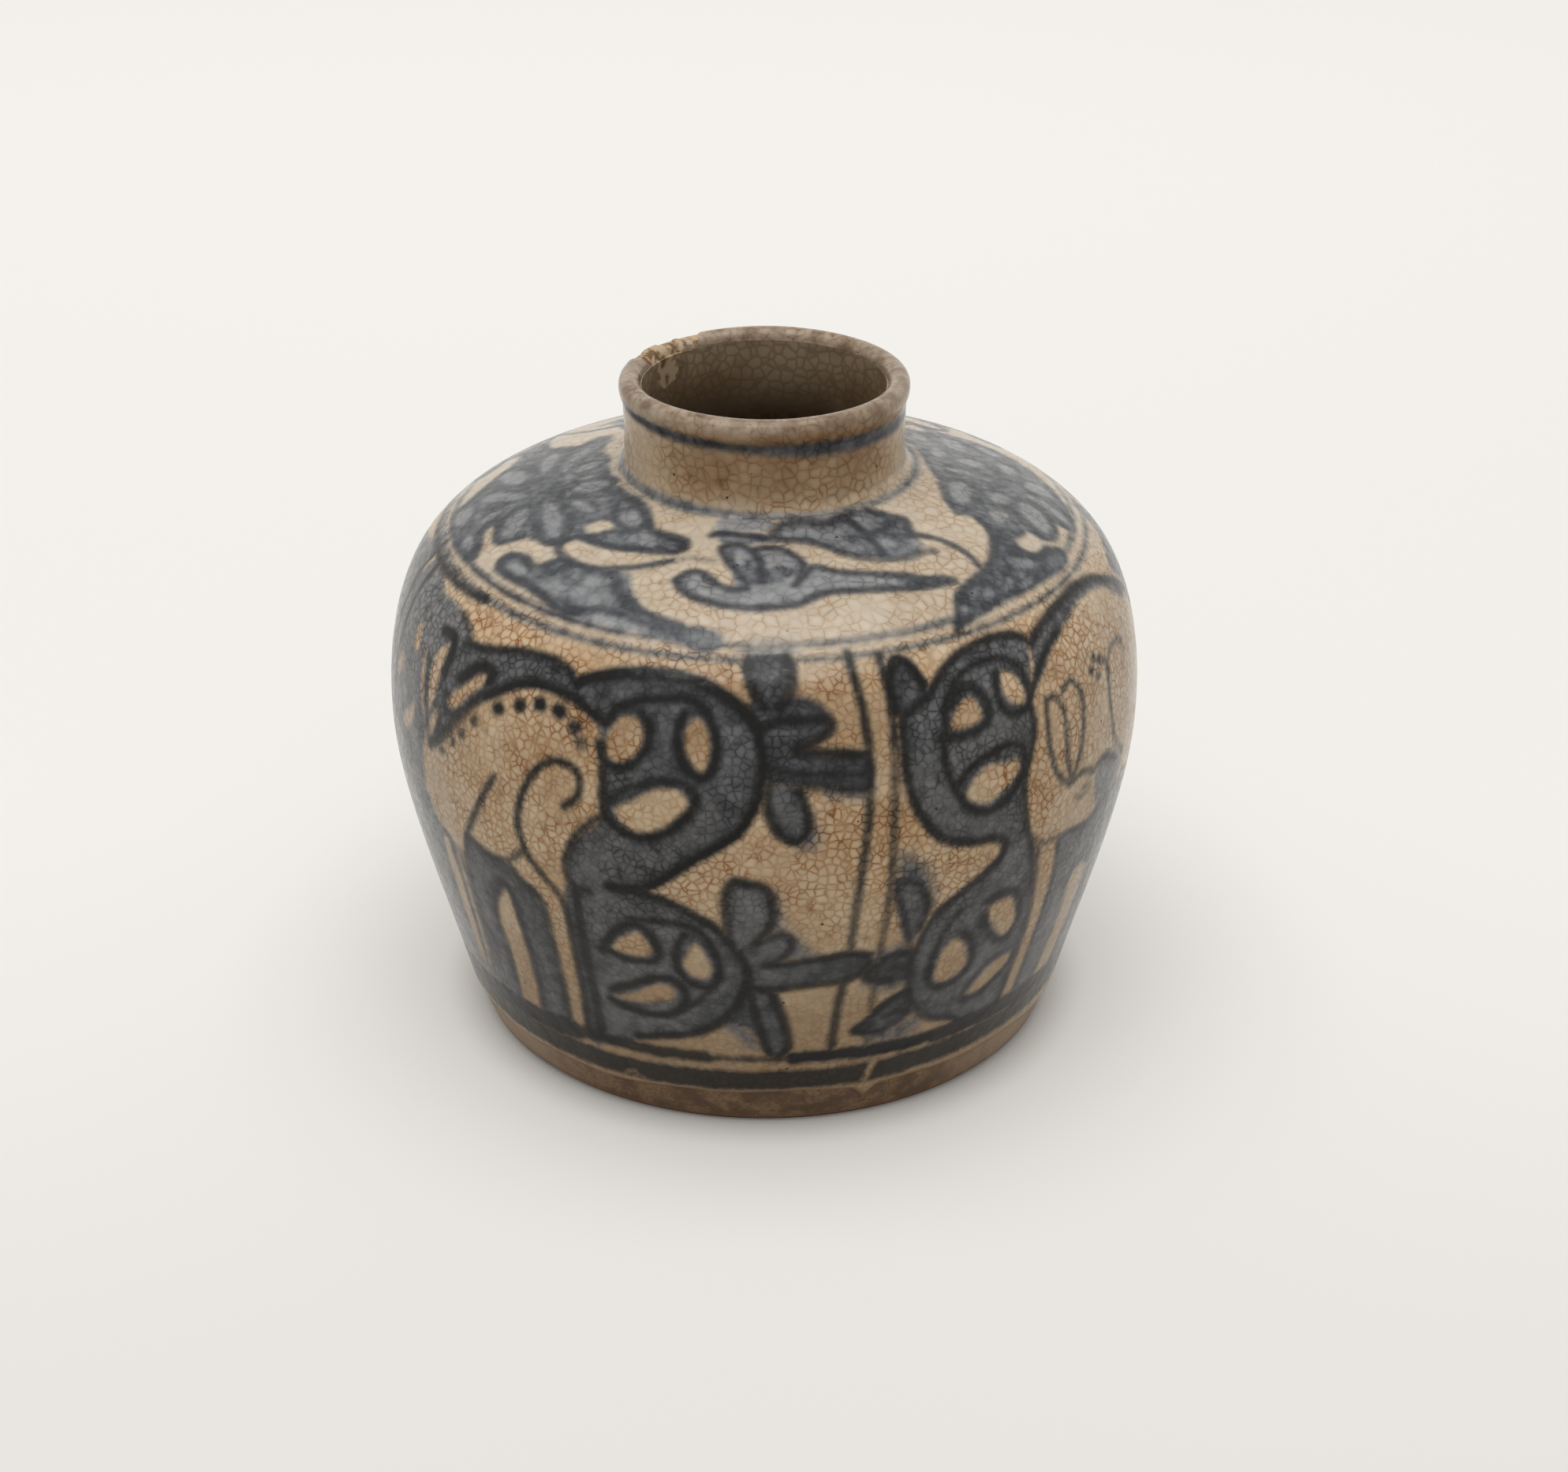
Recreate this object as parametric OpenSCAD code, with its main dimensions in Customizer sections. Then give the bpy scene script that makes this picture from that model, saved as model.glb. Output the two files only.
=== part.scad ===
// Small hand-thrown porcelain jar with a wide shoulder and a short upright neck.
// It is thrown in three sections, a bowl, a shoulder and a neck, that are keyed and luted with slip.
// A glaze coat covers it outside, down to the bare foot, and another lines it inside.
// Millimetres, +Z up, origin on the table at the centre of the foot.

/* [Body] */
// Radius of the clay at the belly
belly_r = 49.6; // [46:0.1:56]
// Height of the belly, where the bowl and the shoulder section meet
waist_z = 45; // [40:0.5:55]
// Radius of the clay at the edge of the shoulder
shoulder_r = 44.2; // [40:0.1:46]
// Rise from the belly to the edge of the shoulder
shoulder_rise = 20.3; // [16:0.1:26]
// Rise from the edge of the shoulder to the seat that the neck stands on
dome_rise = 10.1; // [8:0.1:14]
// Thickness of the wall at the belly
wall = 4.2; // [3:0.1:6]
// Thickness of the wall at the heel
heel_wall = 5; // [3.5:0.1:7]
// Thickness of the wall at the neck end of the shoulder
shoulder_wall = 3.2; // [2.4:0.1:4.2]

/* [Foot] */
// Radius of the heel, where the glaze stops
heel_r = 40.7; // [36:0.1:44]
// Distance that the foot lies inside the heel where it meets the table
foot_inset = 1.5; // [0.5:0.1:4]
// Height of the heel, the bare clay below the glaze
heel_z = 4.7; // [3:0.1:8]
// Width of the foot ring that stands on the table
foot_ring_w = 5.5; // [3:0.5:9]
// Depth of the turned recess inside the foot ring
recess_d = 2.5; // [1:0.1:4]
// Slope of the recess wall, as a run in the radius
recess_run = 1.6; // [0.5:0.1:3]
// Bevel on the outer edge of the foot
foot_bevel = 0.8; // [0.2:0.1:1.5]
// Thickness of the floor at its centre
floor_t = 5; // [3:0.1:8]

/* [Neck and lip] */
// Height from the seat of the neck to the top of the finished lip
neck_h = 13.5; // [9:0.1:20]
// Radius of the clay on the outside of the neck
neck_r = 18; // [14:0.1:22]
// Thickness of the wall of the neck
neck_wall = 1.8; // [1.2:0.1:3]
// Distance that the lip stands out from the neck
lip_out = 0.5; // [0.2:0.1:1.5]
// Height over which the neck opens out to the lip
lip_flare_h = 2.6; // [1:0.1:4]
// Radius of the hollow where the neck rises from the shoulder
neck_fillet_r = 2.2; // [1.4:0.1:4]

/* [Joints and coats] */
// Thickness of the slip in the luted joints
slip_t = 0.6; // [0.3:0.1:1]
// Height of the ridge that keys the sections together
key_h = 0.9; // [0.4:0.1:1.5]
// Thickness of the glaze coats
glaze_t = 0.4; // [0.2:0.05:0.6]

/* [Hidden] */
$fn = 96;

// Points along each curve of the outline and round each small arc
curve_steps = 14;
arc_steps = 8;

// Slopes of the outline: run over rise at the heel, and angles from level at the shoulder
heel_lean = 0.24;
shoulder_angle = 48;
dome_angle = 16;

// Reach of the curve handles, as shares of the rise for the walls and in millimetres for the shoulder
heel_reach = 0.4;
belly_reach_below = 0.28;
belly_reach_above = 0.36;
edge_reach_below = 6;
edge_reach_above = 9;
dome_reach = 9;

// Reach of the flat middle of the floor, as a share of its radius, and the rise of its rounded corner
floor_reach = 0.75;
floor_corner = 10;

// Colours of the fired clay, the slip and the two coats
clay_colour = [0.62, 0.47, 0.34];
slip_colour = [0.74, 0.62, 0.49];
coat_colour = [0.55, 0.58, 0.60];
lining_colour = [0.80, 0.75, 0.66];

// Heights and radii that follow from the sizes above
foot_r = heel_r - foot_inset;
floor_z = recess_d + floor_t;
upper_z = waist_z + slip_t;
shoulder_z = waist_z + shoulder_rise;
seat_z = shoulder_z + dome_rise;
collar_z = seat_z + slip_t;
neck_bore_r = neck_r - neck_wall;
lip_r = neck_r + lip_out;
lip_round = (lip_r - neck_bore_r) / 2;
lip_z = seat_z + neck_h - glaze_t - lip_round;
collar_foot_r = neck_r + neck_fillet_r * (1 - sin(dome_angle));
neck_base_r = collar_foot_r + slip_t / tan(dome_angle);
neck_wall_z = collar_z + neck_fillet_r * cos(dome_angle);
bowl_r = belly_r - wall;

function bezier(a, b, c, d) = [
    for (i = [0 : curve_steps])
        let (t = i / curve_steps, u = 1 - t)
            u * u * u * a + 3 * u * u * t * b + 3 * u * t * t * c + t * t * t * d
];

function arc(centre, radius, from, to) = [
    for (i = [0 : arc_steps])
        let (angle = from + (to - from) * i / arc_steps)
            centre + radius * [cos(angle), sin(angle)]
];

function tail(points) = [for (i = [1 : len(points) - 1]) points[i]];

function head(points) = [for (i = [0 : len(points) - 2]) points[i]];

function reversed(points) = [for (i = [len(points) - 1 : -1 : 0]) points[i]];

function heading(points, i) =
    let (step = points[min(i + 1, len(points) - 1)] - points[max(i - 1, 0)])
        step / norm(step);

// The points moved square to their line, to the right of the way they run and never past the axis
function shifted(points, first, last) = [
    for (i = [0 : len(points) - 1])
        let (way = heading(points, i), gap = first + (last - first) * i / (len(points) - 1))
            [max(0, points[i][0] + gap * way[1]), points[i][1] - gap * way[0]]
];

// Outside of the bowl, from the heel up to the waist
bowl_rise = waist_z - heel_z;
bowl_outside = bezier(
    [heel_r, heel_z],
    [heel_r, heel_z] + heel_reach * bowl_rise * [heel_lean, 1],
    [belly_r, waist_z - belly_reach_below * bowl_rise],
    [belly_r, waist_z]
);

// Outside of the shoulder section, from the waist over the shoulder's edge to the neck
edge = [shoulder_r, shoulder_z];
edge_way = [-cos(shoulder_angle), sin(shoulder_angle)];
dome_way = [-cos(dome_angle), sin(dome_angle)];
dome_end = [neck_base_r, seat_z];
shoulder_outside = concat(
    bezier(
        [belly_r, upper_z],
        [belly_r, upper_z + belly_reach_above * (shoulder_z - upper_z)],
        edge - edge_reach_below * edge_way,
        edge
    ),
    tail(bezier(edge, edge + edge_reach_above * edge_way, dome_end - dome_reach * dome_way, dome_end))
);

// Outside of the neck, from its foot up the wall and over the lip to the bore
neck_outside = concat(
    head(arc([neck_r + neck_fillet_r, neck_wall_z], neck_fillet_r, 270 - dome_angle, 180)),
    [[neck_r, neck_wall_z]],
    bezier(
        [neck_r, lip_z - lip_flare_h],
        [neck_r, lip_z - lip_flare_h / 2],
        [lip_r, lip_z - lip_flare_h / 2],
        [lip_r, lip_z]
    ),
    head(tail(arc([lip_r - lip_round, lip_z], lip_round, 0, 180))),
    [[neck_bore_r, lip_z]]
);

// Inside of the bowl, from the middle of the floor round its corner and up the wall to the waist
bowl_under = shifted(bowl_outside, -heel_wall, -wall);
side_start = [for (i = [0 : len(bowl_under) - 1]) if (bowl_under[i][1] > floor_z + floor_corner) i][0];
side_foot = bowl_under[side_start];
side_way = heading(bowl_under, side_start);
corner_r = side_foot[0] - (side_foot[1] - floor_z) * side_way[0] / side_way[1];
bowl_inside = concat(
    bezier([0, floor_z], [floor_reach * corner_r, floor_z], [corner_r, floor_z], side_foot),
    [for (i = [side_start + 1 : len(bowl_under) - 2]) bowl_under[i]],
    [[bowl_r, waist_z]]
);

// Inside of the shoulder section, thinner towards the neck and rounded into its bore
shoulder_under = shifted(shoulder_outside, -wall, -shoulder_wall);
under_end = shoulder_under[len(shoulder_under) - 1];
bore_corner = [neck_bore_r, under_end[1] + (under_end[0] - neck_bore_r) * tan(dome_angle)];
shoulder_inside = concat(
    [[bowl_r, upper_z]],
    tail(shoulder_under),
    tail(bezier(under_end, bore_corner, bore_corner, [neck_bore_r, seat_z]))
);

// Bore of the neck, from its foot to the start of the lip's round
neck_inside = [[neck_bore_r, collar_z], [neck_bore_r, lip_z]];

// Ridges that key the sections together
waist_key = [belly_r - wall / 2, waist_z + key_h];
seat_key = [(neck_r + neck_bore_r) / 2, seat_z + key_h];
slip_rise = [0, slip_t];

// Bowl of the jar with its turned foot, bare below the heel
module lower_body() {
    recess_r = foot_r - foot_ring_w - recess_run;
    foot = [
        [0, recess_d],
        [recess_r, recess_d],
        [recess_r + recess_run, 0],
        [foot_r - foot_bevel, 0],
        [foot_r, foot_bevel]
    ];
    color(clay_colour)
        rotate_extrude()
            polygon(concat(foot, bowl_outside, [waist_key], reversed(bowl_inside)));
}

// Slip in the joint at the waist, wiped flush inside and out
module waist_slip() {
    color(slip_colour)
        rotate_extrude()
            polygon([
                [belly_r, waist_z],
                [belly_r, upper_z],
                waist_key + slip_rise,
                [bowl_r, upper_z],
                [bowl_r, waist_z],
                waist_key
            ]);
}

// Shoulder section, from the waist to the ring that the neck stands on
module upper_body() {
    seat = [[neck_r, seat_z], seat_key];
    color(clay_colour)
        rotate_extrude()
            polygon(concat(shoulder_outside, seat, reversed(shoulder_inside), [waist_key + slip_rise]));
}

// Slip under the neck, smoothed out along the shoulder
module neck_slip() {
    color(slip_colour)
        rotate_extrude()
            polygon([
                dome_end,
                [collar_foot_r, collar_z],
                [neck_r, collar_z],
                seat_key + slip_rise,
                [neck_bore_r, collar_z],
                [neck_bore_r, seat_z],
                seat_key,
                [neck_r, seat_z]
            ]);
}

// Neck thrown by itself, with a rounded lip that opens out a little
module neck_collar() {
    foot = [seat_key + slip_rise, [neck_r, collar_z]];
    color(clay_colour)
        rotate_extrude()
            polygon(concat(neck_outside, tail(reversed(neck_inside)), foot));
}

// Coat of glaze from the heel over the shoulder, the neck and the lip
module outer_glaze() {
    skin = concat(bowl_outside, shoulder_outside, neck_outside);
    color(coat_colour)
        rotate_extrude()
            polygon(concat(skin, reversed(shifted(skin, glaze_t, glaze_t))));
}

// Coat of glaze that lines the bowl, the shoulder and the bore of the neck
module inner_glaze() {
    lining = concat(bowl_inside, shoulder_inside, neck_inside);
    color(lining_colour)
        rotate_extrude()
            polygon(concat(lining, reversed(shifted(lining, -glaze_t, -glaze_t))));
}

lower_body();
waist_slip();
upper_body();
neck_slip();
neck_collar();
outer_glaze();
inner_glaze();
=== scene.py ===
import math

import bpy
import numpy as np
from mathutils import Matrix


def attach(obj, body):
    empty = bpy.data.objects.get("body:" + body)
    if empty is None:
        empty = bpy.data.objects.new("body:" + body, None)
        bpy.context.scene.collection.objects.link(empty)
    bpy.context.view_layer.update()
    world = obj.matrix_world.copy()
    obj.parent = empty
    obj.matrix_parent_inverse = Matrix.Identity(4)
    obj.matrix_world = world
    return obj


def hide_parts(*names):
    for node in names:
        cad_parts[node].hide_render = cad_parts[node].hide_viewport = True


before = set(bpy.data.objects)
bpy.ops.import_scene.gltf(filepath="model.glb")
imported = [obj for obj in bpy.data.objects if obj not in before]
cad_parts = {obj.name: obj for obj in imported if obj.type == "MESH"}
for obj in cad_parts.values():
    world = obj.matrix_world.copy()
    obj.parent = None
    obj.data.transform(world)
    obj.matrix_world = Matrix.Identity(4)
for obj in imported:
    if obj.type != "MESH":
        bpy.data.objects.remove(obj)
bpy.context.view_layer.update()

# Everything below is in millimetres and degrees until a mesh is made
MM = 0.001
# Angles run round the jar from its photographed face, rising to its right
# Places up the wall are measured along the glazed outside from the heel

# Smallest difference that counts
TINY = 1e-7

# Width of the photograph in pixels, and the column that the jar's axis falls on
IMAGE_W = 1988
AXIS_COLUMN = 969

# Camera of the photograph, and the nearest that it sees in metres
SENSOR_W = 36
FOCAL_PIXELS = 3850
CAMERA_RISE = 26.85
CAMERA_DISTANCE = 413.5
CAMERA_TARGET = 36.4
CAMERA_NEAR = 0.01

# Outside of the glaze: step between its points, and how far it is carried on below and inside the heel
PATH_STEP = 0.2
HEEL_DROP = 3.9
HEEL_INSET = 1.5
# Points at the start of the outside that reach past the heel
HEEL_POINTS = 60

# Grid of the glaze skin, and the places up the wall where one coat meets the next
COLUMNS = 640
ROW_STEP = 0.5
SEAM_UP = 67.4
NECK_UP = 91.1

# Thickness of the coat, the least that is left of it, and the height over which its lower edge thins out
GLAZE_T = 0.4
GLAZE_LEAST = 0.02
EDGE_HEIGHT = 1.3
# Hollows in the coat: depth, number round the jar and shift for each millimetre up, and their middle depth
HOLLOWS = [(0.05, 2, 1 / 9), (0.03, 5, -1 / 6)]
HOLLOW_MIDDLE = 0.08

# Lower edge of the glaze: its height, its waves by height, number and shift, and how far up rows follow it
EDGE_LIFT = 0.7
EDGE_WAVES = [(0.35, 3, 1), (0.22, 7, 2), (0.15, 16, 0)]
EDGE_BLEND = 4
# One run of glaze that drips over the heel
DRIP_AROUND = 18.5
DRIP_WIDTH = 1.5
DRIP_DEPTH = 1.8

# How far a brush line or a wash is felt
REACH = 3.0
# Step along a brush line, and points of an oval dab
LINE_STEP = 0.7
OVAL_POINTS = 8

# Nudges that set the drawings against the photograph: up the wall, up the shoulder, and round the shoulder
WALL_LIFT = 0.5
SHOULDER_LIFT = 1.5
SHOULDER_SPREAD = 0.06
# Where the shoulder's nudges begin up the wall, and the stretch over which they grow
NUDGE_UP = 62
NUDGE_RUN = 12

# Mirror reflection of the glaze, as the shader's specular level
GLAZE_GLOSS = 0.21


def srgb(red, green, blue):
    """A colour as it looks on a screen, from 0 to 255, as shader values."""
    parts = [c / 255 for c in (red, green, blue)]
    return [c / 12.92 if c <= 0.04045 else ((c + 0.055) / 1.055) ** 2.4 for c in parts] + [1]


# Colours
GROUND_PALE = srgb(213, 192, 162)
GROUND_TAN = srgb(198, 169, 134)
GROUND_STAIN = srgb(158, 132, 101)
# Pale ground of the shoulder, also the painted sheen at the sides of the wall
SHOULDER_PALE_AND_SHEEN = srgb(198, 186, 168)
# Brown of the neck, also its painted shade at the front
NECK_BROWN = srgb(144, 110, 75)
LIP_GREY = srgb(170, 154, 136)
LIP_STAIN = srgb(130, 110, 90)
LIP_SPECK = srgb(112, 86, 64)
CRACK_HALO = srgb(228, 206, 182)
CRACK_CORE = srgb(184, 144, 110)
NECK_HALO = srgb(214, 194, 166)
WASH_HALO = srgb(190, 191, 194)
WASH_CORE = srgb(136, 132, 130)
PIT = srgb(60, 48, 38)
CLAY_PALE = srgb(140, 112, 83)
CLAY_BROWN = srgb(88, 67, 48)
# Painted light on the sides of the bare clay
CLAY_SIDE_LIGHT = srgb(186, 164, 142)
CLAY_STAIN = srgb(104, 78, 56)
CLAY_RUST = srgb(116, 78, 48)
# Dark of the pits in the clay, also the painted shade along the lowest edge of the foot
CLAY_PIT_AND_CONTACT_SHADE = srgb(70, 52, 38)
SLIP_PALE = srgb(190, 158, 122)
SLIP_BROWN = srgb(160, 128, 94)
LINING_PALE = srgb(168, 148, 122)
LINING_BROWN = srgb(142, 119, 93)
# Painted shade deep inside the jar
LINING_SHADE = srgb(30, 24, 18)
LINING_CRACK = srgb(92, 66, 44)
CHIP_CLAY = srgb(190, 168, 138)
CHIP_BROWN = srgb(118, 90, 64)
# Floor colours far from the jar, beside it and in front of it, darker near the jar as painted shade, and
# far out where it grows into the sky
FLOOR_FAR = srgb(225, 223, 220)
FLOOR_MID = srgb(209, 207, 204)
FLOOR_NEAR = srgb(190, 188, 184)
FLOOR_END = srgb(20, 20, 20)
SKY = srgb(250, 248, 243)

# Cobalt painting: its thin and its dense wash, and its brush lines
BODY_COBALT = (srgb(155, 160, 167), srgb(57, 60, 65), srgb(19, 18, 18))
SHOULDER_COBALT = (srgb(146, 153, 162), srgb(60, 64, 70), srgb(56, 59, 65))

# Crackle: size of a cell, reach of its stains and cracks as shares of it, strength, and mottling of washes
BODY_CRACKLE = (1.1, 0.34, 0.1, 1, 0.06)
SHOULDER_CRACKLE = (1.5, 0.42, 0.08, 0.6, 0.2)
NECK_CRACKLE = (1.4, 0.4, 0.08, 0.7, 0.1)

# Lights: power in watts, size and place in metres
LAMPS = {
    "overhead": (9.6, (1.3, 0.9), (-0.06, -0.06, 1.3)),
    "front_strip": (2.5, (1, 0.08), (-0.1, -0.6, 1.25)),
}
# Strength of the sky's light
WORLD_STRENGTH = 0.42
# Floor: half of its width in metres, its own glow, and the share of that glow under the jar, which leaves a
# painted shadow round the foot
FLOOR_HALF = 3
FLOOR_LIFT = 0.3
SHADOW_GLOW_SHARE = 0.2
# Where the floor's own glow starts outside the foot, past its painted shadow, and where it grows into the
# sky, in millimetres
SHADOW_GLOW_RADII = (37, 46)
FLOOR_FADE = (450, 1500)

# Rings round the shoulder and the neck: place up the wall, width, strength, sway and tilt to the right
RINGS = [
    (68.6, 0.75, 0.8, 0.06, 0),
    (66.5, 0.75, 0.8, 0.06, 0),
    (91.3, 1, 0.75, 0.08, -0.6),
    (100.2, 1.7, 0.95, 0.06, -0.95),
]
# Waves of a ring's place and of its width: height, number round the jar, and shift for each millimetre up
RING_SWAYS = [(1, 1, 1), (0.6, 3, 2)]
RING_SWELLS = [(0.18, 2, 1), (0.12, 5, 3)]
# Strokes that go over the rings once more
RING_LINES = [
    (1.2, 0.95, [(-104, 65.1), (-85, 65.1), (-70, 65.05), (-60, 65.2), (-54, 65.6)]),
    (0.5, 0.9, [(-95, 67.9), (-75, 67.85), (-50, 67.7), (-36, 67.6), (-24, 67.5)]),
]
# Bands above the heel, brushed in several strokes
BAND_LINES = [
    (3.5, 0.93, [(-93, 3), (-70, 3.2), (-50, 3.1), (-33, 2.9), (-20, 2.9), (-5, 3), (8, 3.1), (22, 3.1)]),
    (3.5, 0.93, [(18, 3), (28, 3.4), (40, 3.8), (55, 4.2), (75, 4), (93, 3.2)]),
    (3.6, 0.97, [(-93, 6.4), (-75, 6.2), (-58, 6.1), (-44, 6.2), (-35, 6.6)]),
    (2, 0.95, [(-38, 6.8), (-28, 7), (-18, 7), (-10, 7.1)]),
    (1.1, 0.85, [(-12, 7), (-4, 7.1), (4, 7.2)]),
    (2.3, 1, [(5, 7.3), (11, 7.3), (17, 7.1), (24, 6.9), (33, 6.9)]),
    (3, 0.97, [(31, 6.8), (42, 7), (56, 7.1), (75, 6.8), (93, 6.6)]),
]
# Places where the glaze ran and took the bands with it
BAND_BREAKS = [
    (0.9, [(19.6, 5.4), (18.8, 3.2), (17.8, 0.6)]),
    (0.5, [(-26, 1), (-24, 2.2), (-22, 1.2)]),
]
# Blur of the shade beside the fronds, as a multiple of a wash's own
SHADE_BLUR = 2.6
# Width of the soft edge between two strengths of one wash
SOFT_EDGE = 0.9

# Turns at which the panels and the leaf scroll are painted, and from one divider to the next
PANEL_TURNS = (0, 180)
SPRAY_TURNS = (0, 183)
DIVIDER_TURN = -94
# Strengths of washes that are gone over once more or thinned
ROCK_DARKER = 1.12
SPRAY_DARKER = 0.9
SPRAY_LIGHTER = 0.5
PETALS_A = 0.5
PETALS_B = 0.3
# Lines round the petals: their width and their strengths
PETAL_LINE = 0.7
PETAL_INK_A = 0.7
PETAL_INK_B = 0.6

# Chip in the rim: spots that it spreads from, by angle, radius and height
CHIP_SPOTS = [
    (-114, 17.6, 88.2),
    (-124, 16.4, 87.2),
    (-133, 17.2, 88.2),
    (-126, 15.9, 85.4),
    (-145, 18, 88.4),
]
# Its reach, its depth and the width of its slope
CHIP_REACH = 2.2
CHIP_DEPTH = 0.4
CHIP_SLOPE = 0.8
# How ragged its edge is, and how far that edge lies within and beyond its reach
CHIP_RAGGED = 2.4
CHIP_WITHIN = 0.4
CHIP_BEYOND = 0.1

# Drawings are washes, by strength and edge, lines, by width, strength and points, or plain shapes
# Every point is an angle round the jar and a place up the wall

# Rock at the left: its washes, the darker top of one, its holes and its lines
ROCK_A_WASH = [
    (0.9, [(-24.6, 56), (-27, 58.2), (-29.5, 60.2), (-25, 62.4), (-20, 63.4), (-14, 63.6), (-9, 62.9),
     (-4, 60.5), (-0.6, 56), (-0.4, 51), (-3, 45), (-8.6, 41.2), (-15, 36.6), (-20, 35), (-28, 33.6),
     (-29.4, 36), (-27.6, 40.6), (-23.2, 44.5), (-23.4, 50)]),
    (0.86, [(-28.3, 33.5), (-20, 35), (-13, 33.6), (-7, 30.5), (-3.2, 25.5), (-2.6, 21), (-5.4, 15.5),
     (-11.4, 11.2), (-20, 9.3), (-24, 7.5), (-28.8, 7), (-28.6, 20)]),
]

ROCK_A_DARK = [
    [(-27, 60.4), (-21, 62.6), (-14, 63), (-8, 62), (-3.4, 59.4), (-4.6, 57.6), (-8, 59.6), (-14, 61),
     (-20, 60.4), (-24, 58.2)],
]

ROCK_A_HOLES = [
    [(-23.3, 54.2), (-21.8, 57.2), (-19.2, 57.8), (-17.4, 56), (-18, 53.6), (-20.5, 52), (-22.6, 52.4)],
    [(-11.6, 55.2), (-10.8, 58), (-9.4, 58.6), (-8, 57), (-7.7, 54.6), (-8.1, 52), (-9.8, 52.4)],
    [(-21.3, 45.6), (-18.5, 47.6), (-14.5, 49.6), (-11.8, 49.3), (-10.6, 47.8), (-12.6, 45.6),
     (-15.5, 43.8), (-18.5, 43.5)],
    [(-23.7, 24.6), (-21.6, 26.8), (-19, 28.2), (-17.4, 26.8), (-17, 25), (-19, 24.1), (-21.5, 24)],
    [(-12.4, 23.6), (-11.2, 26), (-10.2, 27.8), (-8.9, 26), (-7.9, 23.4), (-8.6, 21.8), (-10.4, 21.5)],
    [(-24.8, 15.7), (-20.5, 17.6), (-17.3, 19.4), (-14.8, 19.6), (-14, 18.2), (-15.4, 16.8), (-18.6, 16),
     (-22, 15.4)],
]

ROCK_A_LINES = [
    (1.7, 1, [(-29.4, 60.6), (-25, 62.2), (-20, 63.1), (-14, 63.3), (-9.5, 62.7), (-6, 61.4), (-3.2, 59.8),
     (-1, 57.6)]),
    (1.35, 1, [(-1, 57.8), (-0.3, 54.5), (-0.4, 50.5), (-1.6, 47.4), (-4, 44.2), (-8.6, 41.3),
     (-12.2, 38.8), (-15, 36.7), (-18, 35.4), (-22, 34.9)]),
    (1.35, 1, [(-22.5, 34.9), (-17.5, 34.8), (-13.5, 33.9), (-10, 32.3), (-7, 30.4), (-5, 28), (-3.3, 25.4),
     (-2.5, 22.4), (-3.2, 19.4), (-5.4, 15.6), (-8, 13), (-11.4, 11.3), (-15.7, 10.3), (-21.8, 9)]),
    (1.3, 0.97, [(-25.5, 57.4), (-23.6, 56.6), (-22.2, 58.4), (-19.2, 59.8), (-15.5, 60.4), (-12, 60.7),
     (-10, 60.2), (-8, 58.7), (-6.8, 55.8), (-7, 53), (-8.4, 51.3), (-10.4, 51.8), (-12, 53.8),
     (-12.6, 56.6), (-11.7, 59)]),
    (1.15, 0.95, [(-18.6, 58.6), (-16.8, 57), (-16.9, 54.4), (-18.6, 52.2), (-21, 51.2), (-23.2, 51.9),
     (-24.2, 54)]),
    (1.15, 0.95, [(-23.4, 52), (-23.2, 48.6), (-22.8, 45.2), (-20, 43.1), (-16.8, 42.8), (-13.4, 44),
     (-10.6, 46.4), (-9.4, 48.6), (-10.6, 50)]),
    (0.9, 0.85, [(-22.6, 46.8), (-19.6, 48.8), (-16, 50.2), (-12.6, 50.5), (-10.6, 50)]),
    (1.05, 0.92, [(-22.9, 45), (-25.6, 43), (-27.8, 40.6), (-29.4, 37.4), (-29.3, 34.8), (-27.9, 33.6),
     (-26, 33.4)]),
    (1.35, 0.95, [(-28, 33.4), (-28.4, 29), (-28.6, 22.5), (-28.6, 15), (-28.9, 8)]),
    (1.15, 1, [(-24.5, 24.2), (-21.5, 23.2), (-17, 23.6), (-15.9, 25.4), (-16.8, 28), (-18.8, 29.4),
     (-21.6, 28.6), (-24.3, 25.6), (-25.4, 23.6)]),
    (1.15, 1, [(-19.6, 30.2), (-15.7, 30.6), (-11.4, 30.4), (-8.8, 29), (-7.2, 25.8), (-6.8, 22.6),
     (-7.9, 20.2), (-9.6, 20), (-11.8, 20.8), (-13.2, 23), (-13.2, 26), (-11.8, 28.9)]),
    (1.35, 1, [(-25.6, 15), (-23, 14.2), (-19, 13.7), (-15, 14.4), (-12.6, 16.6), (-12.6, 19.2),
     (-14, 20.7), (-17, 20.6), (-20.5, 19), (-25, 17)]),
    (1.1, 0.9, [(-8, 20.2), (-10.4, 17.4), (-13.2, 15.6)]),
]

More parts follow.
